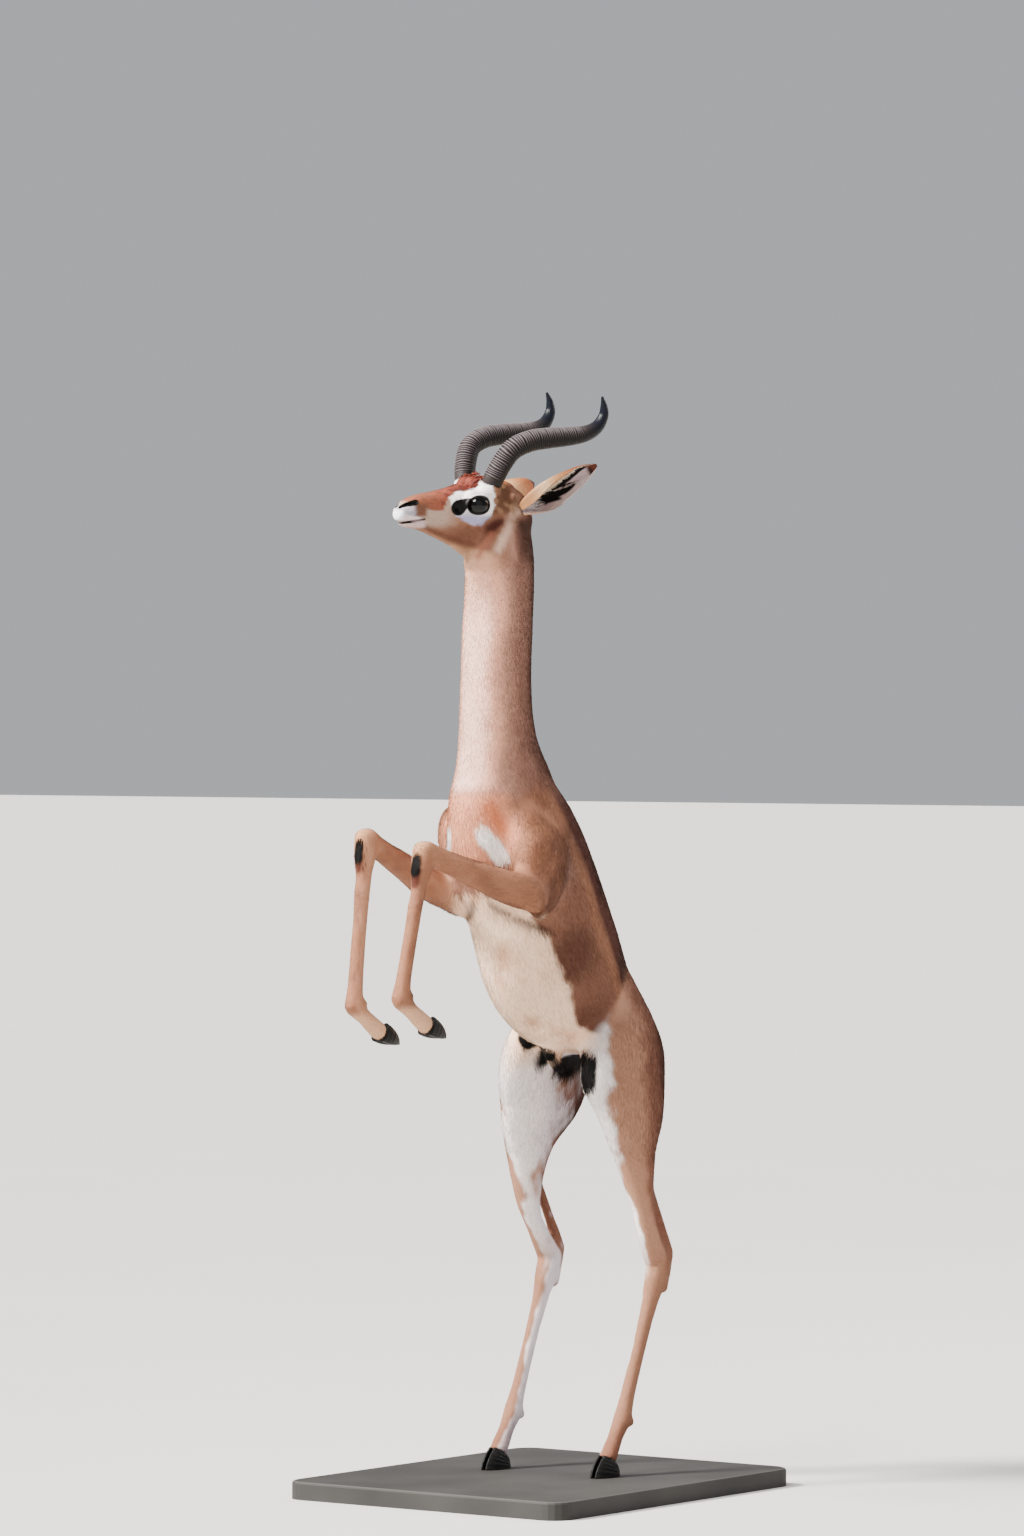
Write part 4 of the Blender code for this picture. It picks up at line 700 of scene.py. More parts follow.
def normals_of(points, faces):
    """The mean of the normals of the faces round each point, each by its area."""
    first, second, third = (points[faces[:, k]] for k in range(3))
    if faces.shape[1] == 4:
        cross = np.cross(third - first, points[faces[:, 3]] - second)
    else:
        cross = -np.cross(third - first, second - first)
    return unit(summed(faces.ravel(), np.repeat(cross, faces.shape[1], axis=0), len(points)))


def remade(shells, cell=None, triangles=None):
    """Joins closed shells into one skin of even cells, or thins a skin to a number of triangles."""
    start = np.cumsum([0] + [len(points) for points, _ in shells])
    points = np.vstack([points for points, _ in shells])
    work = new_piece("work", points, *[faces + at for (_, faces), at in zip(shells, start)])
    if cell:
        melt = work.modifiers.new("melt", "REMESH")
        melt.mode, melt.voxel_size = "VOXEL", cell
    else:
        thin = work.modifiers.new("thin", "DECIMATE")
        thin.ratio = triangles / sum(len(faces) * (faces.shape[1] - 2) for _, faces in shells)
        thin.use_collapse_triangulate = True
    made = evaluated(work)
    points = listed(made.vertices, "co", np.float32).astype(float)
    faces = listed(made.loops, "vertex_index").reshape(-1, 4 if cell else 3)
    dropped(work)
    return points, faces


def relaxed(points, faces, share, rounds):
    """Each round moves a point by its share toward the mean of its neighbours."""
    corners = faces.shape[1]
    a, b = np.vstack([np.stack([faces[:, k], faces[:, (k + 1) % corners]], 1) for k in range(corners)]).T
    count = np.bincount(a, minlength=len(points))[:, None]
    points = points.copy()
    for _ in range(rounds):
        points += (summed(a, points[b], len(points)) / np.maximum(count, 1) - points) * share[:, None]
    return points


def smooth(x, low, high):
    """0 up to low, 1 from high on, and an S-curve between, also where low is the higher."""
    t = np.clip((x - low) / (high - low), 0, 1)
    return t * t * (3 - 2 * t)


def grown_copy(name):
    """The surface of a solid, a hair's breadth outside it."""
    points, faces = faces_of(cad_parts[name])
    return points + normals_of(points, faces) * GAP, faces


def body_shell():
    """Trunk, neck, legs and tail, melted into one and smoothed where they are thick, at the shoulder and
    under the locks of knees and tail; the neck's end runs on inside the head's shell."""
    shells = []
    for name in FLESH:
        if name == "head":
            continue
        points, faces = grown_copy(name)
        if name == "neck":
            top = points[:, 2] > SEAM - 0.001
            points[top] += (0, 0.004, OVERLAP)
        shells.append((points, faces))
    points, faces = remade(shells, BODY_CELL)
    thick = laid(points)[1]
    points = relaxed(points, faces, np.full(len(points), 0.55), 9)
    points = relaxed(points, faces, 0.6 * smooth(thick, 0.024, 0.060), 44)
    arm = bell(off_line(one_sided(points - FOOT, 0), ARM_LINE)[0], ARM_WIDTH)
    points = relaxed(points, faces, 0.6 * smooth(arm, 0.15, 0.6), 60)
    p = points - FOOT
    brush = np.zeros(len(p))
    for knee in KNEES.values():
        brush += bell(off_line(p, [knee, knee + KNEE_BRUSH])[0], 0.020)
    points = relaxed(points, faces, 0.6 * smooth(brush, 0.2, 0.5), 40)
    tuft = CHAINS["tail"][3:, :3]
    off, where = off_line(p, tuft)
    core = between(where * (len(tuft) - 1), np.arange(len(tuft)), tuft)
    shrink = np.where((p[:, 2] < 0.650) & (off < 0.035), np.minimum(1, TAIL_CORE / np.maximum(off, 1e-6)), 1)
    return FOOT + core + (points - FOOT - core) * shrink[:, None], faces


def head_shell():
    """The head with its eyes, and a stub of the neck below it, melted and lightly smoothed, and more so at
    its rear, under the tuft before the horns and on the brows."""
    shells = [grown_copy("head"), grown_copy("eye_left"), grown_copy("eye_right")]
    points, faces = grown_copy("neck")
    bottom = SEAM - STUB
    low = points[:, 2] < bottom
    points[low, :2] = NECK_MIDDLE + (points[low, :2] - NECK_MIDDLE) * 0.80
    points[low, 2] = bottom + (points[low, 2] - bottom) * 0.02
    shells.append((points, faces))
    points, faces = remade(shells, HEAD_CELL)
    points = relaxed(points, faces, np.full(len(points), 0.5), 8)
    points = relaxed(points, faces, 0.6 * smooth(in_head(points)[:, 0], 0.05, 0.00), 60)
    for (middle, size), low, high, rounds in ((CROWN, 1.1, 0.8, 45), (BROW, 1.15, 0.75, 30)):
        off = np.linalg.norm((one_sided(in_head(points), 1) - middle) / size, axis=1)
        points = relaxed(points, faces, 0.6 * smooth(off, low, high), rounds)
    return points, faces


def let_in(points, faces, depth):
    """Points moved inward along their normals."""
    return points - normals_of(points, faces) * depth[:, None]


def one_sided(points, axis):
    """Places with both sides laid over each other: one coordinate without its sign."""
    points = points.copy()
    points[:, axis] = np.abs(points[:, axis])
    return points


def coat_depth(points, thick):
    """Two millimetres where the body is thick, and half of that on legs and face."""
    on_face = smooth(in_head(points)[:, 0], 0.00, 0.06) * (points[:, 2] > SEAM)
    return 0.0008 + 0.0014 * smooth(thick, 0.02, 0.06) * (1 - on_face)


def off_line(points, line):
    """Distance from a broken line, and the share of its length at the nearest place."""
    line = np.asarray(line, float)
    best, where = np.full(len(points), np.inf), np.zeros(len(points))
    for i, (a, b) in enumerate(zip(line[:-1], line[1:])):
        share = np.clip((points - a) @ (b - a) / ((b - a) @ (b - a)), 0, 1)
        off = np.linalg.norm(points - a - share[:, None] * (b - a), axis=1)
        where = np.where(off < best, (i + share) / (len(line) - 1), where)
        best = np.minimum(off, best)
    return best, where


def bell(x, width):
    """A bell curve of x: 1 in its middle and 0.37 at its width."""
    return np.exp(-(x / width) ** 2)


NOSTRIL = mm((244, 5, 9.2), (239.5, 9, 12.8), (232.8, 12.2, 15.2), (221.5, 15.2, 18.8))
MOUTH = mm((243.5, 0, -17), (241.1, 6, -16), (220.9, 12.2, -12.4), (203, 16.4, -9))
GLAND = mm(144.5, 30, 11)
JAW_FOLD = mm((75, 36, 6), (82, 38, -18), (94, 36, -42))


def carved_head(points, faces):
    """Opens the almonds of the eyes, rolls their lids, and draws in nostrils, mouth, glands and cheeks."""
    both = one_sided(in_head(points), 1)
    nostril, mouth, fold = (off_line(both, line)[0] for line in (NOSTRIL, MOUTH, JAW_FOLD))
    gland = np.linalg.norm(both - GLAND, axis=1)
    depth = 0.0028 * bell(nostril, 0.0028) - 0.0007 * bell(nostril - 0.0050, 0.0022)
    depth += 0.0015 * bell(mouth, 0.0016)
    depth += 0.0016 * bell(gland, 0.0075)
    depth -= 0.0008 * bell(gland - 0.0125, 0.0030)
    depth += 0.0010 * bell(fold, 0.0060)
    moved = let_in(points, faces, depth)
    for out in SIDES.values():
        v, up, ahead, ring = round_almond(moved, out)
        far = np.linalg.norm(v, axis=1)
        near = (far < 0.045) * smooth(ahead, -0.004, 0.002)
        lid = 0.0009 * bell(ring - 1.10, 0.10)
        lid -= 0.0008 * bell(ring - 1.42, 0.10) * (0.4 + 0.6 * smooth(up, -0.004, 0.008))
        over = np.maximum(far, EYE_RADIUS + 0.0005) * (ring < 1.5) + far * (ring >= 1.5)
        inside = smooth(ring, 1.03, 0.93)
        wanted = (over + lid) * (1 - inside) + (EYE_RADIUS - 0.0024) * inside
        new = far + (wanted - far) * near
        moved = eye_frame(out)[0] + v * (new / np.maximum(far, 1e-9))[:, None]
    return moved


def dip(past):
    """How much narrower a shell is at a distance past the start of its hidden end: evenly, then steeper."""
    past = np.maximum(past, 0)
    return 2.6 * past + 25.0 * np.maximum(past - 0.010, 0) ** 2


def narrowed(points, past, widened=False):
    """Draws a shell's hidden end in towards the middle of the neck, so that two shells cross in one clean
    line, or draws that line out again."""
    scale = 1 - dip(past)[:, None]
    points = points.copy()
    points[:, :2] = NECK_MIDDLE + (points[:, :2] - NECK_MIDDLE) * (1 / scale if widened else scale)
    return points


def united(first, second):
    """The outside of two closed skins that cross."""
    pair = [new_piece("half", points, faces) for points, faces in (first, second)]
    join = pair[0].modifiers.new("join", "BOOLEAN")
    join.operation, join.solver, join.object = "UNION", "MANIFOLD", pair[1]
    made = evaluated(pair[0])
    made.calc_loop_triangles()
    points = listed(made.vertices, "co", np.float32).astype(float)
    faces = listed(made.loop_triangles, "vertices")
    for piece in pair:
        dropped(piece)
    return points, faces


body_points, body_faces = body_shell()
body_points = let_in(body_points, body_faces, coat_depth(body_points, laid(body_points)[1]))
body_points = narrowed(body_points, body_points[:, 2] - (SEAM - LAP))
body_points, body_faces = remade([(body_points, body_faces)], triangles=BODY_TRIANGLES)

head_points, head_faces = head_shell()
head_points = let_in(head_points, head_faces, coat_depth(head_points, laid(head_points)[1]))
head_points = carved_head(head_points, head_faces)
head_points = narrowed(head_points, SEAM + LAP - head_points[:, 2])
head_points, head_faces = remade([(head_points, head_faces)], triangles=HEAD_TRIANGLES)

skin_points, skin_faces = united((body_points, body_faces), (head_points, head_faces))
skin_points = narrowed(skin_points, LAP - np.abs(skin_points[:, 2] - SEAM), True)
skin_points = relaxed(skin_points, skin_faces, 0.6 * bell(skin_points[:, 2] - SEAM, 0.014), 14)
skin_normals = normals_of(skin_points, skin_faces)
skin_flow, skin_thick, skin_depths, skin_runs, skin_angle = laid(skin_points)

coat_paint = Paint("coat", Specular_IOR_Level=0.10)
tint = coat_paint.noted("tint", "Color")
bare = coat_paint.noted("bare")
lay = coat_paint.noted("lay", "Vector")
hairs = coat_paint.noise(1.0, lay, 3.0, 0.6)
clumps = coat_paint.noise(70.0, detail=2.0)
coat_paint.bump(hairs + clumps * 0.6, 0.0007, 0.5)
# Painted shade: the coat is darkened in the gaps between the hairs of its grain.
shaded = coat_paint.mix(tint, (0.0, 0.0, 0.0), (1 - coat_paint.step(hairs, 0.25, 0.62)) * 0.30)
# Painted highlight: faint pale glints on clumps of hair.
shaded = coat_paint.mix(shaded, (1.0, 0.93, 0.86), coat_paint.step(clumps * hairs, 0.26, 0.45) * 0.012)
shaded = coat_paint.mix(shaded, (0.0010, 0.0008, 0.0009), bare)
coat_paint.feed(Base_Color=shaded, Roughness=0.78 - 0.34 * bare - 0.10 * hairs)

skin = new_piece("skin", skin_points, skin_faces)
coat_paint.on(skin, "coat")
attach(skin, "root")
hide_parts(*FLESH)


# The ears: long leaf-shaped cups of thin gristle, rolled into a tube at the root and open to the side.
# Their backs are furred like the head, their edges and their inner ridges carry longer pale hair.

EAR = {  # root, tip, opening direction
    1: (mm(25, 36.5, 15), mm(-92, 93, 91.5), (0.13, 0.86, -0.49)),
    -1: (mm(25, -36.5, 16.5), mm(-100, -94, 50), (0.60, -0.62, -0.30)),
}
EAR_PROFILE = (  # share of the length, half width, half angle of the rolled section, wall
    (0.00, 0.0115, 150, 0.0100), (0.10, 0.0160, 142, 0.0088), (0.20, 0.0212, 128, 0.0050),
    (0.32, 0.0250, 112, 0.0034), (0.46, 0.0254, 98, 0.0028), (0.60, 0.0240, 88, 0.0025),
    (0.73, 0.0208, 78, 0.0023), (0.84, 0.0155, 70, 0.0020), (0.93, 0.0090, 62, 0.0017),
    (0.985, 0.0033, 55, 0.0014),
)
EAR_GRID = (120, 65)
EAR_BOW, EAR_RIDGE, EAR_WAVE = 0.004, 0.0007, 0.018      # of its middle line, inside it, and of its edge
TONE_POWER, TONE_GREYED = 3.25, 0.15
CUP_EDGE = (  # shares of the length, and how far across the ear the cup begins there
    (0.10, 0.30, 0.42, 0.52, 0.63, 0.71, 0.80, 0.90), (-0.85, 0.10, 0.12, 0.03, -0.07, -0.20, -0.50, -0.90))
CUP_LOW = (  # the same for the lower end of the black at its root
    (0.05, 0.14, 0.23, 0.32, 0.42, 0.48), (1.10, 0.80, 0.52, 0.62, 0.76, 0.86))
STREAK_SHARES = (0.2, 0.5, 0.65, 0.75, 0.86)   # of the length, for the upper black streak's lower edge
STREAK_OUT, STREAK_IN = (0.78, 0.42, 0.36, 0.24, -0.05), (0.70, 0.34, 0.28, 0.16, -0.13)


def ear_surfaces(out):
    """The outer and the inner surface of an ear: at each share of its length an arc of a circle, whose radius
    and half angle come from the profile; the inner arc is smaller by the wall and has low ridges along it."""
    root, tip, face = on_head(EAR[out][0]), on_head(EAR[out][1]), np.array(EAR[out][2]) @ HEAD_AXES
    reach = np.linalg.norm(tip - root)
    along = (tip - root) / reach
    face = unit(face - along * (face @ along))
    across = np.cross(along, face)
    share, half, spread, wall = (c[:, None] for c in finer_rows(EAR_PROFILE, EAR_GRID[0]).T)
    v = np.linspace(-1, 1, EAR_GRID[1])[None]
    spread = np.radians(spread)
    radius = half / np.sin(np.minimum(spread, math.pi / 2))
    middle = root + along * (reach * share)[..., None] - face * (EAR_BOW * np.sin(math.pi * share))[..., None]
    thick = wall * (1 - 0.55 * np.abs(v) ** 3)
    ridges = EAR_RIDGE * np.cos(v * math.pi * 3.0) * np.sin(math.pi * np.clip(share * 1.1, 0, 1)) * (1 - v**2)
    edge = 1 + EAR_WAVE * np.sin(share * 17 + out) * np.abs(v) ** 4
    surfaces = []
    for r in (radius + 0 * v, np.maximum(radius - thick - ridges, radius * 0.08)):
        r = r * edge - GAP
        surfaces.append(middle + across * (np.sin(spread * v) * r)[..., None]
                        - face * (np.cos(spread * v) * r - radius * 0.55)[..., None])
    return surfaces, share + 0 * v, v + 0 * share


def tone(red, green, blue):
    """A colour given as a screen shows it, 0 to 255, as the share of light that it gives back: deeper than on
    the screen, because the picture lifts dark tones, and with the dark ones a little greyer."""
    linear = (np.array([red, green, blue]) / 255.0) ** TONE_POWER
    return linear + (linear.max() - linear) * TONE_GREYED * smooth(linear.max(), 0.50, 0.15)


def covered(colour, over, share):
    """A colour laid over another by a share that varies from point to point."""
    return colour + (over - colour) * np.clip(share, 0, 1)[:, None]


def layered(colour, *layers):
    """Tones laid over a colour in turn; each layer is a tone's three numbers and its share."""
    for *over, share in layers:
        colour = covered(colour, tone(*over), share)
    return colour


def ear_colour(share, across, inside):
    """The ear's colours by share of its length and place across it, from -1 at the upper edge to 1 at the
    lower one: a tan back that goes on over the upper edge, a lilac cup with black streaks, a brown tip."""
    s, w = share, across
    edge, low = np.interp(s, *CUP_EDGE), np.interp(s, *CUP_LOW)
    tan = layered(tone(206, 162, 124), (188, 126, 84, smooth(s, 0.45, 0.80)),
                  (226, 202, 172, bell(s - 0.33, 0.12) * 0.7))
    upper = smooth(w, edge + 0.03, edge + 0.08) * smooth(
        w, np.interp(s, STREAK_SHARES, STREAK_OUT), np.interp(s, STREAK_SHARES, STREAK_IN))
    upper = upper * smooth(s, 0.24, 0.30) * smooth(s, 0.90, 0.85)
    lens = smooth(np.hypot((s - 0.53) / 0.170, (w - 0.50 - 0.6 * (s - 0.52)) / 0.230), 1.05, 0.88)
    root = smooth(w, edge + 0.06, edge + 0.14) * smooth(w, low + 0.05, low - 0.05)
    root = root * smooth(s, 0.06, 0.20) * smooth(s, 0.50, 0.44)
    cup = layered(tone(186, 170, 172), (222, 208, 206, smooth(w, 0.72, 1.0)),
                  (236, 228, 214, bell(w - edge - 0.02, 0.08)),
                  (24, 19, 20, np.maximum(np.maximum(upper, lens), root)))
    tip = layered(tone(122, 68, 44), (48, 26, 20, smooth(w, -0.4, 0.4) * smooth(s, 0.95, 0.88) * inside))
    colour = covered(tan, cup, smooth(w, edge - 0.02, edge + 0.02) * inside)
    return covered(colour, tip, smooth(s, 0.84, 0.90))


def coated(piece, colour, bare, lay):
    """Puts the coat's finish on a piece and stores what it reads: the hair's colour, how bare the skin is,
    and a place in stretched noise whose first value runs along the hair."""
    note(piece, "tint", np.column_stack([colour, np.ones(len(colour))]))
    note(piece, "bare", np.broadcast_to(bare, len(colour)))
    note(piece, "lay", lay)
    coat_paint.on(piece, "coat")


ear_cups = {}
for word, out in SIDES.items():
    (outer, inner), share, v = ear_surfaces(out)
    ear = tube_piece(f"ear_{word}_skin", np.concatenate([outer, inner[:, ::-1]], axis=1))
    share = np.concatenate([share, share], axis=1)
    across = np.concatenate([v, v[:, ::-1]], axis=1) * out
    inside = np.concatenate([0 * v, 0 * v + 1], axis=1)
    colour = ear_colour(share.ravel(), across.ravel(), inside.ravel()).reshape(*share.shape, 3)
    coated(ear, with_ends(colour), 0.0, with_ends(np.stack([share * 14, across * 22, inside * 5], -1)))
    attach(ear, "root")
    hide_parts(f"ear_{word}")
    ear_cups[word] = inner


# The coat's markings: fawn neck, brown flanks under a darker saddle with a paler line between them, white
# belly and inner legs, rufous forehead, white rings round eyes and black glands, black brushes and tail tip.
# Painted light and shade lie among them: a lighter front and darker sides on the neck, shadows in the crotch,
# under the near forearm, along the neck's crease and under the brow's ridge, lilac-grey shade below the eyes
# and inside the thighs.

BODY_SECTIONS = mm(  # back end (y, z) and belly or front end (y, z) over the soles, from the rump to the head
    (78, 728, 4, 678), (58, 772, -80, 690), (36, 812, -158, 704),
    (12, 856, -222, 742), (-12, 905, -268, 795), (-41, 956, -294, 858),
    (-69, 1006, -320, 918), (-97, 1055, -352, 975), (-126, 1102, -380, 1030),
    (-156, 1142, -392, 1085), (-184, 1180, -380, 1140), (-212, 1230, -363, 1210),
    (-224, 1300, -357, 1295), (-221, 1380, -353, 1380), (-216, 1440, -348, 1440),
    (-212, 1505, -350, 1498), (-215, 1600, -340, 1580))


def along_body(points):
    """For each point of trunk and neck: the section it lies in, counted from the rump, and its share of the
    way from the belly's line to the back's."""
    p = points[:, 1:] - FOOT[1:]
    front, reach = BODY_SECTIONS[:, 2:], BODY_SECTIONS[:, :2] - BODY_SECTIONS[:, 2:]
    across = np.stack([-reach[:, 1], reach[:, 0]], 1) / np.linalg.norm(reach, axis=1)[:, None]
    ahead = (p @ across.T) - np.sum(front * across, 1)
    step = np.clip((ahead > 0).sum(1) - 1, 0, len(front) - 2)
    pick, count = np.arange(len(p)), np.arange(len(front))
    a, b = ahead[pick, step], ahead[pick, step + 1]
    place = step + np.clip(a / np.maximum(a - b, 1e-9), 0, 1)
    start, way = between(place, count, front), between(place, count, reach)
    return place, np.sum((p - start) * way, 1) / np.sum(way * way, 1)


def ripple(points, size, seed):
    """Soft uneven patches, from about -1 to 1: the sum of five sine waves of about that length in different
    directions."""
    draw = np.random.default_rng(seed)
    total = np.zeros(len(points))
    for _ in range(5):
        way = unit(draw.normal(size=3)) * 2 * math.pi / (size * draw.uniform(0.7, 1.5))
        total += np.sin(points @ way + draw.uniform(0, 6.28))
    return total / 2.6


TOP_EDGE = mm(  # where the rufous of forehead and nose ends: x forward, z up, in the head's own frame
    (40, 52), (75, 60), (102, 56), (107.4, 47.5), (126.9, 39.2), (134.8, 37.5), (146.5, 35.5),
    (160, 27.5), (166.5, 19), (170, 7.5), (186.6, 5), (205, 8.5), (220, 16.5),
    (235, 19))
EYE_WHITE = mm(  # the outer edge of the white round eye and gland, seen from the side
    (160, 28), (146.5, 36.8), (134.8, 38.5), (126.9, 40.2), (115, 44), (107.4, 48.5),
    (104, 55.5), (98.5, 56), (94, 50), (89, 39), (80, 29), (76.8, 18),
    (78.5, 8), (84, -1), (93, -8.5), (100, -14), (111, -16.5), (122, -14.5),
    (132, -9.5), (142, -4), (150, -0.5), (155.5, 5.5), (157.8, 16))
JAW_STRIPE = mm((206, 15, -22.5), (197.3, 16, -24.5), (158.4, 17, -40), (119.4, 20.7, -53))
THROAT_BAND = mm((82, 40, -30), (90, 39, -43), (99, 36, -57), (103.6, 34, -68))
EAR_BAND = mm((25.7, 41.8, 17.5), (34.7, 41.5, 4.5), (43, 39, -10), (52, 44.3, -21),
              (64, 48.6, -36), (74, 48.6, -56))
BRIDGE = mm((123, 0, 21), (133, 0, 19.5), (145, 0, 16.5))     # the black between eye and gland
MARK_SIDE = 0.012                      # how far from the head's middle plane the marks of eye and gland start
DARK_PATCH = mm((84, 36.5, -21), (74, 36.1, -15), (61, 36.2, -9.5))


def within(x, z, outline):
    """How far a point lies inside a closed outline, below nothing outside it."""
    best, inside = np.full(len(x), np.inf), np.zeros(len(x), bool)
    for (ax, az), (bx, bz) in zip(outline, np.roll(outline, -1, 0)):
        run, rise = bx - ax, bz - az
        share = np.clip(((x - ax) * run + (z - az) * rise) / (run**2 + rise**2), 0, 1)
        best = np.minimum(best, np.hypot(x - ax - share * run, z - az - share * rise))
        crossed = (az > z) != (bz > z)
        inside ^= crossed & (x < ax + (z - az) / (rise if rise else 1) * run)
    return np.where(inside, best, -best)


def away(points, place):
    """Distance from a place."""
    return np.linalg.norm(points - place, axis=1)


def head_colour(points, colour):
    """The head's markings over the given colour, from its side view: x forward and z up, with painted shade
    under the brow's ridge and below the eyes.
    """
    both = one_sided(in_head(points), 1)
    x, side, z = both.T
    wave, fine = ripple(in_head(points), 0.018, 4), ripple(in_head(points), 0.007, 5)
    patch, throat, band = (off_line(both, line)[0] for line in (DARK_PATCH, THROAT_BAND, EAR_BAND))
    stripe, along = off_line(both, JAW_STRIPE)

    low = -0.046 - 0.24 * (0.12 - x)
    cheek = layered(
        tone(166, 124, 96),
        (184, 164, 152, smooth(x, 0.135, 0.175) * smooth(z, -0.030, -0.012)),
        (140, 98, 74, smooth(z + 0.004 * wave, -0.010, -0.026) * smooth(x, 0.185, 0.130)),
        (186, 152, 126, smooth(z, low, low - 0.012) * smooth(x, 0.06, 0.10)))
    colour = covered(colour, cheek, smooth(x, 0.040, 0.075))
    tan = smooth(x, 0.086, 0.076) * smooth(x, 0.018, 0.045) * smooth(z, -0.004, 0.008)
    colour = covered(colour, layered(tone(138, 100, 74), (172, 138, 110, smooth(wave, -0.2, 0.9))), tan)
    nape = smooth(x, 0.050, 0.020) * smooth(z, 0.004, -0.012) * smooth(z, -0.095, -0.050)
    colour = layered(
        colour,
        (108, 58, 42, 1.1 * bell(patch, 0.0105 + 0.0015 * wave)),
        (150, 92, 62, 0.75 * bell(throat, 0.0075 + 0.002 * wave)),
        (206, 182, 166, 0.95 * bell(band, 0.0075 + 0.001 * wave)),
        (100, 66, 48, nape * smooth(band, 0.006, 0.014) * 0.85),
        (104, 60, 40, (0.95 - 0.45 * along) * bell(stripe, 0.0040 + 0.0065 * along + 0.001 * wave)))

    over = z - np.interp(x, TOP_EDGE[:, 0], TOP_EDGE[:, 1])
    rufous = layered(
        tone(160, 82, 40),
        (118, 50, 18, smooth(wave + 0.5 * fine, -0.2, 0.9) * 0.8),
        # Painted shadow: the rufous darkens just above its lower edge, under the ridge over the white brow.
        (96, 38, 18, bell(over - 0.004, 0.0060) * smooth(x, 0.158, 0.140) * smooth(x, 0.085, 0.100) * 0.8),
        (156, 102, 68, smooth(x, 0.150, 0.205) * 0.85),
        (196, 138, 96, smooth(x, 0.075, 0.045)))
    colour = covered(colour, rufous, smooth(over + 0.0012 * wave, -0.0020, 0.0020) * smooth(x, 0.030, 0.050))
    colour = layered(colour, (136, 96, 74, smooth(x, 0.196, 0.206) * smooth(x, 0.232, 0.222)
                              * smooth(z, -0.008, 0.000) * smooth(z, 0.020, 0.014)))
    # Painted shade: the white ring is lilac-grey below the eyes and glands.
    white = layered(tone(248, 244, 244), (186, 184, 208, smooth(z, 0.006, -0.004)),
                    (222, 214, 210, smooth(x, 0.140, 0.158) * smooth(z, 0.022, 0.012)))
    ring = smooth(within(x, z, EYE_WHITE) + 0.0010 * wave, -0.0014, 0.0016) * (side > MARK_SIDE)
    gland_shade = 0.5 * bell(np.hypot((x - 0.1290) / 0.0075, (z - 0.0035) / 0.0075), 1.0) * (side > 0.02)
    muzzle = smooth(x + 0.3 * z, 0.2225, 0.2335) * smooth(z, 0.0150, 0.0100) * smooth(z, -0.032, -0.026)
    lip = smooth(x, 0.202, 0.212) * smooth(z + 0.18 * (0.235 - x), 0.000, -0.004) * smooth(z, -0.016, -0.012)
    chin = smooth(x, 0.196, 0.206) * smooth(z, -0.010, -0.013) * smooth(z, -0.026, -0.020)
    return layered(
        covered(colour, white, ring),
        (110, 112, 130, gland_shade),
        (222, 212, 220, muzzle),
        (180, 178, 188, smooth(x, 0.216, 0.228) * bell(z, 0.0075)),
        (226, 212, 214, lip),
        (246, 244, 248, smooth(x, 0.240, 0.247) * smooth(z, 0.008, 0.002)),
        (206, 186, 184, chin),
        (196, 172, 152, smooth(x, 0.236, 0.243) * smooth(z, 0.011, 0.015)))


def bare_marks(points):
    """How far a point lies in one of the head's bare black places: eye rims, glands, nostrils, mouth."""
    both = one_sided(in_head(points), 1)
    x, side, z = both.T
    bridge, nostril, mouth = (off_line(both * wide, line)[0] for wide, line in (
        ((1, 0, 1), BRIDGE), (1, NOSTRIL), (1, MOUTH)))
    gland = np.hypot((x - 0.1455) / 0.0132, (z - 0.0112) / 0.0130)
    marks = [smooth(gland, 1.10, 0.88) * (side > MARK_SIDE),
             smooth(bridge, 0.0095, 0.0078) * (side > MARK_SIDE),
             smooth(nostril, 0.0058, 0.0044), smooth(mouth, 0.0030, 0.0016)]
    for out in SIDES.values():
        v, _, _, ring = round_almond(points, out)
        marks.append(smooth(ring, 1.30, 1.16) * (np.linalg.norm(v, axis=1) < 0.035))
    return np.max(marks, axis=0)


# Lines and places over the soles where marks and painted shadows lie, the first three of them on both sides
# of the body.
CHEST_SPOT = mm((44, -364, 1100), (58, -350, 1070))
# ELBOW_SHADE is the line of a painted cast shadow under the near forearm, over dark hair there.
ELBOW_SHADE = mm((14, -333, 945), (49, -302, 919), (83, -250, 896))
CHEST_WHITE = mm((38, -371, 1058), (48, -360, 1038), (55, -350, 1020))
BELLY_SHADES = ((mm(16, -293, 862), 0.016), (mm(20, -222, 748), 0.014), (mm(-10, -338, 955), 0.016))
# GROIN and BEHIND: painted shadow in the crotch and between the thighs, over the dark hair there.
GROIN = mm((-52, -136, 713), (-40, -142, 702), (0, -161, 689), (20, -154, 683),
           (50, -150, 688), (76, -148, 688), (81, -154, 670), (79, -156, 648))
BEHIND = (mm((-36, -60, 664), (-36, -36, 665), (-36, -5, 668)),
          mm((-30, -110, 680), (0, -120, 668), (50, -120, 672)))
BRUSH_MARKS = mm((0, 0, -30), (0, -4, -50)), mm((0, 0, -12), (0, -2, -30))    # brown, black; from the knee
LINES = {"hind": (3, 4), "fore": (5, 6), "tail": (7,)}       # numbers of the middle lines, left before right


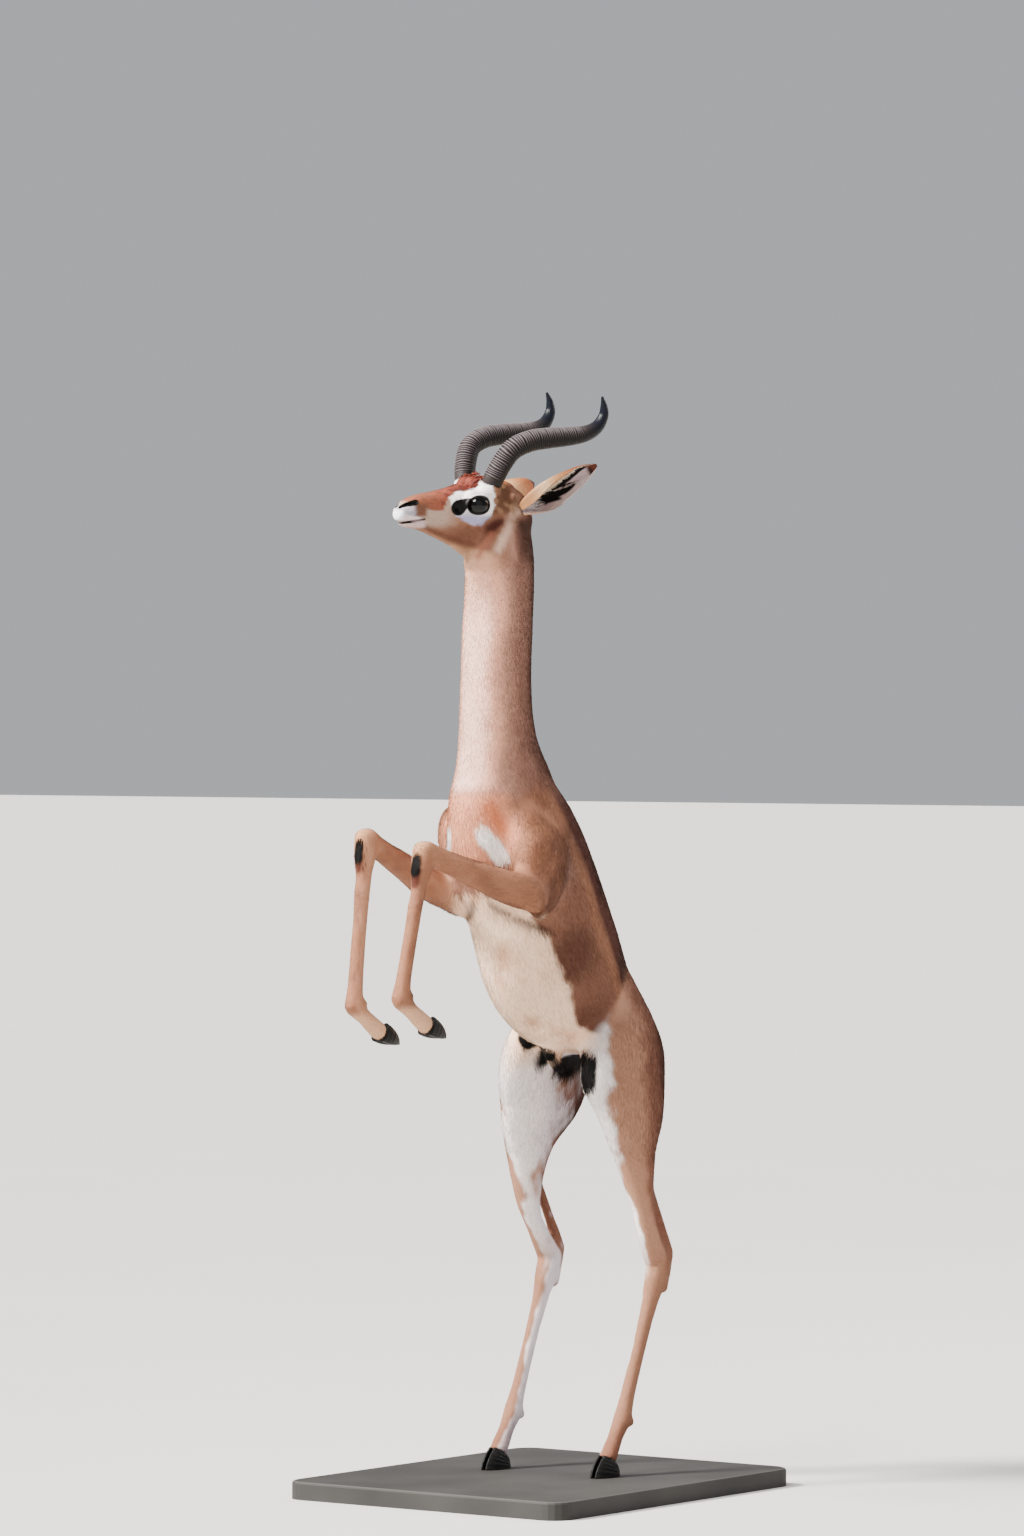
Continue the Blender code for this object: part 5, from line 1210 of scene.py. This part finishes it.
def hind_colour(height, inward, rear, noise):
    """A hind leg's colours by height over the sole and by how far in and back a point lies, in radii."""
    turn = np.interp(height, (0.45, 0.52, 0.585, 0.65, 0.706), (0.70, 0.54, 0.50, 0.40, 0.30))
    whiter = smooth(0.95 * inward - 0.75 * rear + noise - turn, -0.10, 0.10) * smooth(height, 0.30, 0.40)
    whiter = np.maximum(whiter, smooth(inward + noise, 0.35, 0.7) * 0.85) * smooth(height, 0.785, 0.735)
    return layered(
        tone(190, 152, 130),
        (150, 104, 80, smooth(rear + noise, -0.30, 0.25)),
        (112, 70, 52, smooth(rear + noise, 0.30, 0.85) * smooth(height, 0.40, 0.55)),
        (168, 126, 100, smooth(height, 0.40, 0.30) * 0.8),
        (248, 240, 238, whiter),
        # Painted shade: the white turns lilac-grey towards the inside and the back of the thigh.
        (208, 202, 216, 0.6 * whiter * smooth(inward + 0.5 * rear, 0.10, 0.70)),
        (146, 92, 62, smooth(height, 0.10, 0.05) * 0.5))


def fore_colour(q, rows, middle, inward, rear, noise):
    """A foreleg's colours, by how far in and back a point lies and how far from knee, fetlock and hoof."""
    knee, fetlock, hoof = rows[5, :3], rows[7, :3], rows[9, :3]
    shank = q[:, 2] < knee[2] - 0.02
    bow = smooth(q[:, 1], -0.330, -0.370) * smooth(q[:, 2] - middle[:, 2], 0.006, 0.018) * ~shank
    brown, black = (off_line(q, knee + (0, -0.024, 0) + path)[0] for path in BRUSH_MARKS)
    return layered(
        tone(176, 130, 102),
        (150, 106, 82, smooth(noise * 5, -0.3, 0.9) * 0.6),
        (138, 96, 72, smooth(rear + noise, 0.0, 0.7) * shank * 0.8),
        (122, 84, 60, 0.8 * bow * smooth(away(q, knee), 0.03, 0.06)),
        (212, 172, 148, smooth(inward + noise, 0.35, 0.8) * 0.7),
        (216, 166, 140, smooth(q[:, 1], -0.300, -0.250) * smooth(q[:, 0], -0.04, -0.06)),
        (226, 184, 152, bell(away(q, knee + mm(0, -12, 16)), 0.020) * 0.8),
        (120, 70, 48, smooth(brown, 0.012, 0.006)),
        (30, 24, 24, smooth(black, 0.014, 0.008)),
        (230, 196, 168, smooth(q[:, 2], fetlock[2] - 0.004, fetlock[2] - 0.02) * 0.7),
        (40, 33, 32, smooth(away(q, hoof + mm(0, 12, -4)), 0.026, 0.014)),
        (70, 52, 44, smooth(away(q, fetlock + mm(0, 20, 2)), 0.012, 0.006)))


def coat_colour(points, depths, runs):
    """The coat's colour at each point: that of trunk and neck by section and by share from belly to back,
    that of the legs by the side of the leg, then the head's."""
    p = points - FOOT
    both = one_sided(p, 0)
    x, y, z = both.T
    line = np.argmin(depths, axis=1)
    section, share = along_body(points)
    wide, fine = ripple(points, 0.11, 1), ripple(points, 0.030, 2)
    share = share + 0.012 * fine + 0.018 * wide

    flank = layered(tone(152, 110, 86), (128, 88, 68, smooth(wide, -0.3, 0.8)))
    arm = layered(tone(166, 122, 100), (148, 116, 104, bell(section - 7.4, 1.1) * bell(share - 0.42, 0.24)),
                  (128, 90, 72, smooth(share + 0.04 * wide, 0.50, 0.72) * smooth(section, 8.6, 7.6)))
    flank = covered(flank, arm, smooth(section + 0.4 * wide, 5.7, 6.9))
    pale_line = np.interp(section, (0, 3, 5, 7, 9), (0.57, 0.60, 0.59, 0.62, 0.62))
    flank = layered(flank, (180, 134, 104, 0.5 * bell(share - pale_line, 0.045) * smooth(section, 8.2, 7.0)))
    saddle = layered(tone(116, 72, 54), (96, 56, 42, smooth(wide, -0.5, 0.6)))
    upper = smooth(share, pale_line + 0.045, pale_line + 0.090) * smooth(section, 9.6, 8.4)
    colour = covered(flank, saddle, upper)
    breast = np.where(p[:, 0] < -0.04, smooth(y, -0.250, -0.295), smooth(y, -0.315, -0.345))
    colour = layered(
        colour,
        (226, 172, 146, smooth(section, 7.2, 8.0) * np.maximum(smooth(share, 0.34, 0.18), breast)),
        (206, 132, 94, 0.8 * bell(off_line(both, CHEST_SPOT)[0], 0.016)))

    mottle = smooth(ripple(points, 0.045, 3) + 0.9 * (share - 0.72), 0.05, 0.75)
    # Painted light and shade: the neck is lighter down its front and darker, to brown, towards its sides and
    # nape.
    neck = layered(
        tone(232, 186, 166),
        (242, 206, 192, smooth(share, 0.14, 0.04)),
        (188, 150, 134, smooth(share + 0.03 * wide, 0.10, 0.30)),
        (154, 114, 98, smooth(share + 0.03 * fine, 0.28, 0.48) * (0.75 + 0.25 * mottle)),
        (118, 78, 58, smooth(share, 0.50, 0.80)),
        (214, 168, 146, smooth(z, 1.36, 1.50) * smooth(share, 0.20, 0.08) * 0.7))
    rise = z - 1.127 + 0.05 * smooth(y, -0.34, -0.25) + 0.002 * fine
    chest = smooth(rise, -0.004, 0.006) * smooth(y, -0.30, -0.345)
    chest += smooth(section + 0.3 * wide, 8.2, 10.2) * smooth(y, -0.345, -0.30)
    colour = covered(colour, neck, chest)
    # Painted shade along the crease between neck and chest.
    colour = layered(colour, (150, 96, 74, 0.55 * bell(rise, 0.0045) * smooth(y, -0.335, -0.36)))

    belly_edge = np.interp(section, (0, 2.5, 3, 4, 5, 5.4, 6, 6.6, 7.2),
                           (0.30, 0.17, 0.20, 0.225, 0.195, 0.14, 0.105, 0.07, -0.2))
    belly = layered(tone(250, 222, 200), (240, 204, 178, smooth(fine + wide, 0.3, 1.3) * 0.7),
                    *((206, 164, 132, 0.75 * bell(away(p, place), reach)) for place, reach in BELLY_SHADES))
    edge = smooth(share + 0.006 * fine, belly_edge + 0.016, belly_edge - 0.016)
    colour = covered(colour, belly, edge * smooth(section, 7.4, 6.6))
    body = line < LINES["fore"][1]        # all but the right foreleg and the tail
    shade, white = (off_line(both, path)[0] for path in (ELBOW_SHADE, CHEST_WHITE))
    # A painted cast shadow under the near forearm, over dark hair there, and the white patch on the chest.
    colour = layered(colour, (70, 42, 32, 0.9 * bell(shade, 0.0065) * (x > 0.012) * body),
                     (250, 244, 240, smooth(white + 0.0015 * fine, 0.0165, 0.0125) * body))

    starts, ends, _, number = bones()
    for k in (*LINES["hind"], *LINES["fore"]):
        rows = np.vstack([starts[number == k], ends[number == k][-1:]]) - (*FOOT, 0)
        others = np.min(np.delete(depths, k, axis=1), axis=1)
        leg = others > 0.75 * depths[:, k]
        q = p[leg]
        lengths = np.concatenate([[0], np.cumsum(np.linalg.norm(np.diff(rows[:, :3], axis=0), axis=1))])
        middle = between(runs[leg, k], lengths, rows)
        inward = (middle[:, 0] - q[:, 0]) / middle[:, 3] * (1 if k % 2 else -1)
        rear = (q[:, 1] - middle[:, 1]) / middle[:, 3]
        noise = 0.10 * fine[leg] + 0.12 * wide[leg]
        if k in LINES["hind"]:
            hair = hind_colour(q[:, 2], inward, rear, noise)
        else:
            hair = fore_colour(q, rows, middle, inward, rear, noise)
        blend = smooth(others[leg] / depths[leg, k] + 0.3 * noise, 0.82, 1.18)
        colour[leg] = covered(colour[leg], hair, blend)
    # Painted shadow in the crotch and between the thighs, over the dark hair there.
    groin = off_line(p, GROIN)[0] - 0.007 * smooth(p[:, 0], -0.03, 0.02) * smooth(z, 0.700, 0.692)
    behind = np.minimum(*(off_line(p, path)[0] for path in BEHIND))
    colour = layered(colour, (34, 28, 30, np.maximum(smooth(groin + 0.002 * fine, 0.0165, 0.0110),
                                                     smooth(behind + 0.003 * fine, 0.026, 0.016))))
    tail = line == LINES["tail"][0]
    hair = layered(tone(120, 74, 50), (20, 16, 16, smooth(z[tail], 0.64, 0.60)))
    colour[tail] = covered(colour[tail], hair, smooth(runs[tail, LINES["tail"][0]], 0.0, 0.03))
    above = smooth(points[:, 2], SEAM - 0.030, SEAM + 0.030) * (in_head(points)[:, 0] > -0.05)
    colour = covered(colour, head_colour(points, colour), above)
    return np.clip(colour, 0.001, 0.95)


# The coat itself: short sleek hair. On the skin it is a fine grain along its lie; over it stand thin closed
# tufts in their tens of thousands, which overlap like tiles and carry the skin's own markings.

LAY_ALONG, LAY_ROUND = 130, 900        # how fine the hair's grain is along it, and across it


def lay_of(run, angle, thick):
    """Each point's place in the hair's grain: along its part, and on a circle as wide as the part."""
    wide = thick * LAY_ROUND
    return np.stack([run * LAY_ALONG, np.cos(angle) * wide, np.sin(angle) * wide], 1)


skin_tint = coat_colour(skin_points, skin_depths, skin_runs)
skin_bare = bare_marks(skin_points)
skin_line = np.argmin(skin_depths, axis=1)
skin_run = skin_runs[np.arange(len(skin_points)), skin_line]
skin_lay = lay_of(skin_run, skin_angle, skin_thick)
skin_lay[:, 0] += skin_line * 40
coated(skin, skin_tint, skin_bare, skin_lay)

COAT_PARTS = {  # which lines' hair a piece holds, which side of the body (0 both), tufts to a square metre
    "face": ((0,), 0, 760000), "neck": ((1,), 0, 230000), "trunk_left": ((2,), 1, 175000),
    "trunk_right": ((2,), -1, 175000), "hindleg_left": ((3,), 0, 190000), "hindleg_right": ((4,), 0, 190000),
    "forelegs": ((5, 6), 0, 300000), "tail": ((7,), 0, 420000),
}
TUFT_MOST = 49000
TUFT_SUNK, TUFT_KEEL = 0.0003, 0.0007  # how deep its root lies in the skin, and its keel below that
PATCH, MAP_EDGE = 0.003, 0.02          # a hair's size on the map, and the border that is left free there


def hair_size(points, thick, bare):
    """Length and width of the tufts: eleven millimetres long on the trunk, three on the face and the feet."""
    h = in_head(points)
    face = smooth(h[:, 0], 0.01, 0.10) * (points[:, 2] > SEAM)
    z = points[:, 2] - FOOT[2]
    foot = smooth(z, 0.34, 0.05)
    length = 0.0050 + 0.0060 * smooth(thick, 0.02, 0.08)
    length = length * (1 - face) + (0.0038 - 0.0016 * smooth(h[:, 0], 0.14, 0.23)) * face
    length = length * (1 - 0.35 * foot) * (1 - 0.5 * bare)
    width = 0.00050 + 0.00075 * smooth(thick, 0.02, 0.08) * (1 - face)
    return length, width


def scattered(faces_in, density, most, draw):
    """Places on some of the skin's triangles, as many to each as its area asks: triangle and three shares."""
    a, b, c = (skin_points[skin_faces[faces_in, k]] for k in range(3))
    area = np.linalg.norm(np.cross(b - a, c - a), axis=1) / 2
    count = min(int(area.sum() * density), most)
    wanted = (np.arange(count) + draw.uniform(0, 1, count)) / count
    chosen = np.minimum(np.searchsorted(np.cumsum(area) / area.sum(), wanted), len(faces_in) - 1)
    u, v = draw.uniform(0, 1, (2, count))
    u, v = np.where(u + v > 1, 1 - u, u), np.where(u + v > 1, 1 - v, v)
    return faces_in[chosen], np.stack([1 - u - v, u, v], 1)


def wedges(root, normal, flow, length, width, lift, sunk):
    """Thin closed wedges: two corners at the root, the tip down the lie of the hair, a keel in the skin."""
    along = unit(flow - normal * np.sum(flow * normal, 1)[:, None])
    aside = np.cross(normal, along) * width[:, None] * 0.5
    left, right = root - aside - normal * sunk, root + aside - normal * sunk
    tip = root + (along + normal * lift[:, None]) * length[:, None]
    keel = root + along * (length * 0.30)[:, None] - normal * (sunk + TUFT_KEEL)
    corners = np.stack([left, right, tip, keel], 1).reshape(-1, 3)
    base = np.arange(len(root))[:, None] * 4
    return corners, np.concatenate([base + np.array(f) for f in ((0, 2, 1), (1, 3, 0), (3, 1, 2), (0, 3, 2))])


def mapped(piece, at, around, along, corner):
    """Gives each hair its small patch on the map, at its root's place round and along its part. Each corner
    of a face, of which the point's number is given, goes to its own place in the patch."""
    place = MAP_EDGE + (1 - 2 * MAP_EDGE) * np.stack([around, along], 1)
    layer = piece.data.uv_layers.new(name="OFBake")
    spot = place[at // len(corner)] + corner[at % len(corner)] * PATCH
    layer.data.foreach_set("uv", spot.astype(np.float32).ravel())


def read(values, on, shares):
    """The skin's values at places on its triangles, from those of their corners."""
    return np.einsum("nk,nk...->n...", shares, values[skin_faces[on]])


middle = skin_points[skin_faces].mean(1)
face_line = skin_line[skin_faces[:, 0]]
hidden = np.zeros(len(skin_faces), bool)
for out in SIDES.values():
    hidden |= away(middle, eye_frame(out)[0]) < EYE_RADIUS + 0.0010
tuft_corner = np.array([(-0.5, -0.5), (0.5, -0.5), (0.0, 0.5), (0.0, -0.2)])
for number, (word, (lines, half, density)) in enumerate(COAT_PARTS.items()):
    draw = np.random.default_rng(40 + number)
    chosen = np.isin(face_line, lines) & ~hidden
    if half:
        chosen &= middle[:, 0] * half >= 0
    on, shares = scattered(np.flatnonzero(chosen), density, TUFT_MOST, draw)
    bare = read(skin_bare, on, shares)
    keep = bare < draw.uniform(0.15, 0.6, len(bare))
    on, shares, bare = on[keep], shares[keep], bare[keep]
    root, thick, run, colour = (read(v, on, shares) for v in (skin_points, skin_thick, skin_run, skin_tint))
    normal, flow = (unit(read(v, on, shares)) for v in (skin_normals, skin_flow))
    length, width = hair_size(root, thick, bare)
    length = length * draw.uniform(0.7, 1.3, len(root))
    flow = unit(flow + draw.normal(0, 0.10, root.shape)
                + 0.125 * np.stack([ripple(root, 0.06, seed) for seed in (11, 12, 13)], 1))
    lift = draw.uniform(0.015, 0.085, len(root)) + 0.03 * np.maximum(ripple(root, 0.04, 14), 0)
    points, faces = wedges(root, normal, flow, length, width, lift, TUFT_SUNK)
    coat = new_piece(f"coat_{word}", points, faces)
    colour = colour * draw.uniform(0.80, 1.14, len(root))[:, None]
    colour = np.clip(colour * (1 + draw.normal(0, 0.025, root.shape)), 0, 1)
    shine = unit(normal + draw.normal(0, 0.10, normal.shape) - 0.12 * flow)
    coat.data.normals_split_custom_set_from_vertices(np.repeat(shine, 4, axis=0))
    turn = skin_angle[skin_faces[on, 0]]
    coated(coat, *(np.repeat(v, 4, axis=0) for v in (colour, bare, lay_of(run, turn, thick))))
    mapped(coat, faces.ravel(), turn / (2 * math.pi) + 0.5, run / skin_run.max(), tuft_corner)
    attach(coat, "root")


# The long hair: tail tuft, knee brushes, the ruffled hair before the horns and the fringes of the ears. Each
# lock is a flat tapered blade that bends under its own weight; hundreds of them lie over one another.

LOCK_ROWS = 5
BRUSH_KNEE = {1: mm(30, -521, 1032), -1: mm(-90, -518.7, 1050.5)}
TAIL_LOCKS, KNEE_LOCKS, FOREHEAD_LOCKS = 1500, 520, 1100
EAR_LOCKS = {  # number; lean down, along, out of the cup, to its opening; spread; length; shortening; tone
    "upper": (300, (0.75, 0.50, 0.30, 0), 0.10, (0.004, 0.008), 0.5, (242, 232, 214)),
    "lower": (420, (0.35, 0.85, 0.20, 0), 0.12, (0.006, 0.011), 0.4, (230, 214, 212)),
    "root": (160, (0, 0.90, 0, 0.45), 0.20, (0.012, 0.022), 0.0, (246, 238, 240)),
    "ridge": (40, (0, 0.95, 0.30, 0), 0.12, (0.006, 0.010), 0.0, (190, 178, 176)),
}


def blades(root, way, bend, face, length, width):
    """Closed blades: the spine is root + length * (way * s + bend * s^2), its half width falls as
    (1 - s)^0.7, and a ridge on its upper side gives it a triangular section. Also how many points one has."""
    s = np.linspace(0, 1, LOCK_ROWS + 1)[None, :-1, None]
    length = length[:, None, None]
    spine = root[:, None] + length * (way[:, None] * s + bend[:, None] * s**2)
    end = root[:, None] + length * (way + bend)[:, None]
    half = width * 0.5 * (1 - s) ** 0.7
    aside, rise = unit(np.cross(way, face))[:, None] * half, face[:, None] * (width * 0.22 * (1 - s) ** 0.7)
    rings = np.stack([spine - aside, spine + aside, spine + rise], 2).reshape(len(root), -1, 3)
    points = np.concatenate([rings, end], 1)
    per, last = points.shape[1], LOCK_ROWS * 3 - 3
    ends = np.array([(last, last + 1, per - 1), (last + 1, last + 2, per - 1), (last + 2, last, per - 1),
                     (2, 1, 0)])
    start = (np.arange(len(root)) * per)[:, None, None]
    quads = quads_of(LOCK_ROWS, 3)[None] + start
    return points.reshape(-1, 3), quads.reshape(-1, 4), (ends[None] + start).reshape(-1, 3), per


def lock_piece(name, root, way, bend, face, length, width, root_tone, tip_tone, draw, around, along):
    """The locks as one piece, darker or lighter toward their tips, each with its own patch on the map."""
    points, quads, ends, per = blades(root, way, bend, face, length, width)
    piece = new_piece(name, points, quads, ends)
    share = np.append(np.repeat(np.arange(LOCK_ROWS) / LOCK_ROWS, 3), 1.0)
    colour = root_tone[:, None] * (1 - share)[:, None] + tip_tone[:, None] * share[:, None]
    colour = np.clip(colour * draw.uniform(0.72, 1.18, (len(root), 1, 1)), 0.001, 0.95).reshape(-1, 3)
    turn = draw.uniform(0, 50, (len(root), 1)) + np.arange(per) % 3 * 0.7
    coated(piece, colour, 0.0, np.stack([share * 1.5 + 0 * turn, turn, 0 * turn], -1).reshape(-1, 3))
    corner = np.stack([np.tile([-0.5, 0.5, 0.0], LOCK_ROWS + 1)[:per], share - 0.5], 1)
    mapped(piece, np.concatenate([quads.ravel(), ends.ravel()]), around, along, corner)
    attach(piece, "root")


draw = np.random.default_rng(90)
BLACK_HAIR, BROWN_HAIR, RUFOUS_HAIR = tone(26, 21, 22), tone(112, 66, 46), tone(176, 88, 42)

count = TAIL_LOCKS
where = draw.uniform(0, 1, count) ** 0.85
tail_line = CHAINS["tail"][2:, :3]
core = between(where * 4.4, np.arange(len(tail_line)), tail_line) + FOOT
turn = draw.uniform(0, 2 * math.pi, count)
out = np.stack([np.cos(turn), np.sin(turn), 0 * turn], 1)
size = 0.050 - 0.012 * where + draw.normal(0, 0.006, count)
way = unit(np.array([0, 0.02, -1.0]) + out * (0.20 + 0.16 * (1 - where))[:, None])
dark = smooth(where + draw.normal(0, 0.05, count), 0.02, 0.22)
root_tone = BROWN_HAIR + (BLACK_HAIR - BROWN_HAIR) * dark[:, None]
bend = -0.20 * out * (0.3 + 0.5 * where)[:, None]
lock_piece("tail_tuft", core + out * 0.0045, way, bend, out, size, 0.0026,
           root_tone, root_tone * 0.9, draw, turn / (2 * math.pi), where)

count = KNEE_LOCKS
for word, side in SIDES.items():
    across, drop = draw.uniform(-1, 1, count), draw.uniform(0, 1, count)
    out = unit(np.stack([across * 0.75, -1.0 + 0 * across, 0.05 + 0 * across], 1))
    root = BRUSH_KNEE[side] + FOOT + out * (0.0150, 0.0185, 0.015)
    root[:, 2] += 0.002 - 0.036 * drop
    way = unit(np.array([0, 0.10, -1.0]) + out * 0.34 + draw.normal(0, 0.08, out.shape))
    brown = smooth(drop + draw.normal(0, 0.08, count), 0.62, 0.84)[:, None]
    root_tone = BLACK_HAIR * (1 - brown) + BROWN_HAIR * brown
    lock_piece(f"knee_brush_{word}", root, way, -0.24 * out, out, draw.uniform(0.014, 0.024, count), 0.0017,
               root_tone, root_tone * 1.1, draw, across * 0.5 + 0.5, drop)

count = FOREHEAD_LOCKS
place = np.stack([draw.uniform(0.080, 0.128, count), draw.uniform(-0.026, 0.026, count)], 1)
x, y, z = in_head(skin_points).T
above = np.argmin(np.where(z > 0.02, 0.0, 1.0)[None] + np.hypot(x - place[:, :1], y - place[:, 1:]), axis=1)
normal = skin_normals[above]
back = -HEAD_FORWARD + normal * 0.55 + draw.normal(0, 0.16, normal.shape) + HEAD_LEFT * (place[:, 1:] * 9)
size = draw.uniform(0.010, 0.019, count) * (1 - 0.4 * smooth(place[:, 0], 0.110, 0.128))
crown = covered(RUFOUS_HAIR, tone(128, 52, 20), draw.uniform(0, 1, count))
bend = HEAD_FORWARD * 0.05 - normal * 0.22
lock_piece("forehead_tuft", skin_points[above] - normal * 0.0010, unit(back), bend, normal, size, 0.0016,
           crown * 0.8, crown * 1.15, draw, place[:, 1] / 0.06 + 0.5, (place[:, 0] - 0.07) / 0.07)


def on_grid(grid, rows, columns):
    """Values of a grid between its points, at shares of its rows and columns."""
    i, j = rows * (grid.shape[0] - 1), columns * (grid.shape[1] - 1)
    a, b = np.clip(i.astype(int), 0, grid.shape[0] - 2), np.clip(j.astype(int), 0, grid.shape[1] - 2)
    f, g = (i - a)[:, None], (j - b)[:, None]
    low, high = grid[a, b] * (1 - g) + grid[a, b + 1] * g, grid[a + 1, b] * (1 - g) + grid[a + 1, b + 1] * g
    return low * (1 - f) + high * f


for word, out in SIDES.items():
    cup, locks = ear_cups[word], []
    opening = unit(EAR[out][2] @ HEAD_AXES)
    for kind, (count, lean, spread, reach, shorter, shade) in EAR_LOCKS.items():
        s = draw.uniform(*((0.04, 0.95) if kind in ("upper", "lower") else (0.02, 0.20)), count)
        if kind == "upper":
            w = np.interp(s, *CUP_EDGE) - 0.02 + draw.normal(0, 0.03, count)
        elif kind == "lower":
            w = 0.97 + 0 * s
        elif kind == "root":
            w = draw.uniform(-0.9, 0.9, count)
        else:
            s = draw.uniform(0.42, 0.72, count)
            w = np.interp(s, (0.42, 0.72), (0.30, 0.62)) + draw.normal(0, 0.02, count)
        column = (w * out + 1) / 2
        along = unit(on_grid(cup, np.minimum(s + 0.02, 1), column)
                     - on_grid(cup, np.maximum(s - 0.02, 0), column))
        down = unit(on_grid(cup, s, np.clip(column + 0.03 * out, 0, 1))
                    - on_grid(cup, s, np.clip(column - 0.03 * out, 0, 1)))
        face = unit(np.cross(along, down)) * out
        face = face * np.sign(face @ opening + 1e-6)[:, None]
        way = lean[0] * down + lean[1] * along + lean[2] * face + lean[3] * opening
        way = unit(way + draw.normal(0, spread, face.shape))
        size = draw.uniform(*reach, count) * (1 - shorter * smooth(s, 0.6, 0.95))
        locks.append((on_grid(cup, s, column), way, face, size, np.tile(tone(*shade), (count, 1)), column, s))
    root, way, face, size, tones, column, s = (np.concatenate(v) for v in zip(*locks))
    lock_piece(f"ear_fringe_{word}", root, way, -0.12 * face, face, size, 0.0009,
               tones, tones, draw, column, s)


# The display base: a flat board with rounded corners, sprayed a matt dark grey and lighter along its upper
# edge. The board itself comes from the solids and keeps their shape; only its finish is made here.

base_paint = Paint("base", Specular_IOR_Level=0.30)
speck = base_paint.noise(420.0, detail=4.0, rough=0.7)
cloud = base_paint.noise(6.0, detail=3.0)
base_paint.bump(speck, 0.0006, 0.35)
cloudy = base_paint.step(cloud + 0.3 * speck, 0.35, 0.95)
dark = base_paint.mix((0.020, 0.019, 0.018), (0.036, 0.034, 0.032), cloudy)
height = base_paint.node("ShaderNodeSeparateXYZ", {}, {"Vector": base_paint.place()}, 2)
# A narrow band along the board's upper edge is made lighter.
upper_edge_band = (base_paint.step(height + 0.0012 * speck, 0.0285, 0.0296)
          * base_paint.step(height + 0.0006 * speck, 0.0302, 0.0299))
base_paint.feed(Base_Color=base_paint.mix(dark, (0.075, 0.071, 0.067), upper_edge_band * 0.7),
                Roughness=0.60 + 0.18 * speck)
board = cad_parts["stand_base"]
for finish in board.material_slots:
    finish.material = base_paint.material
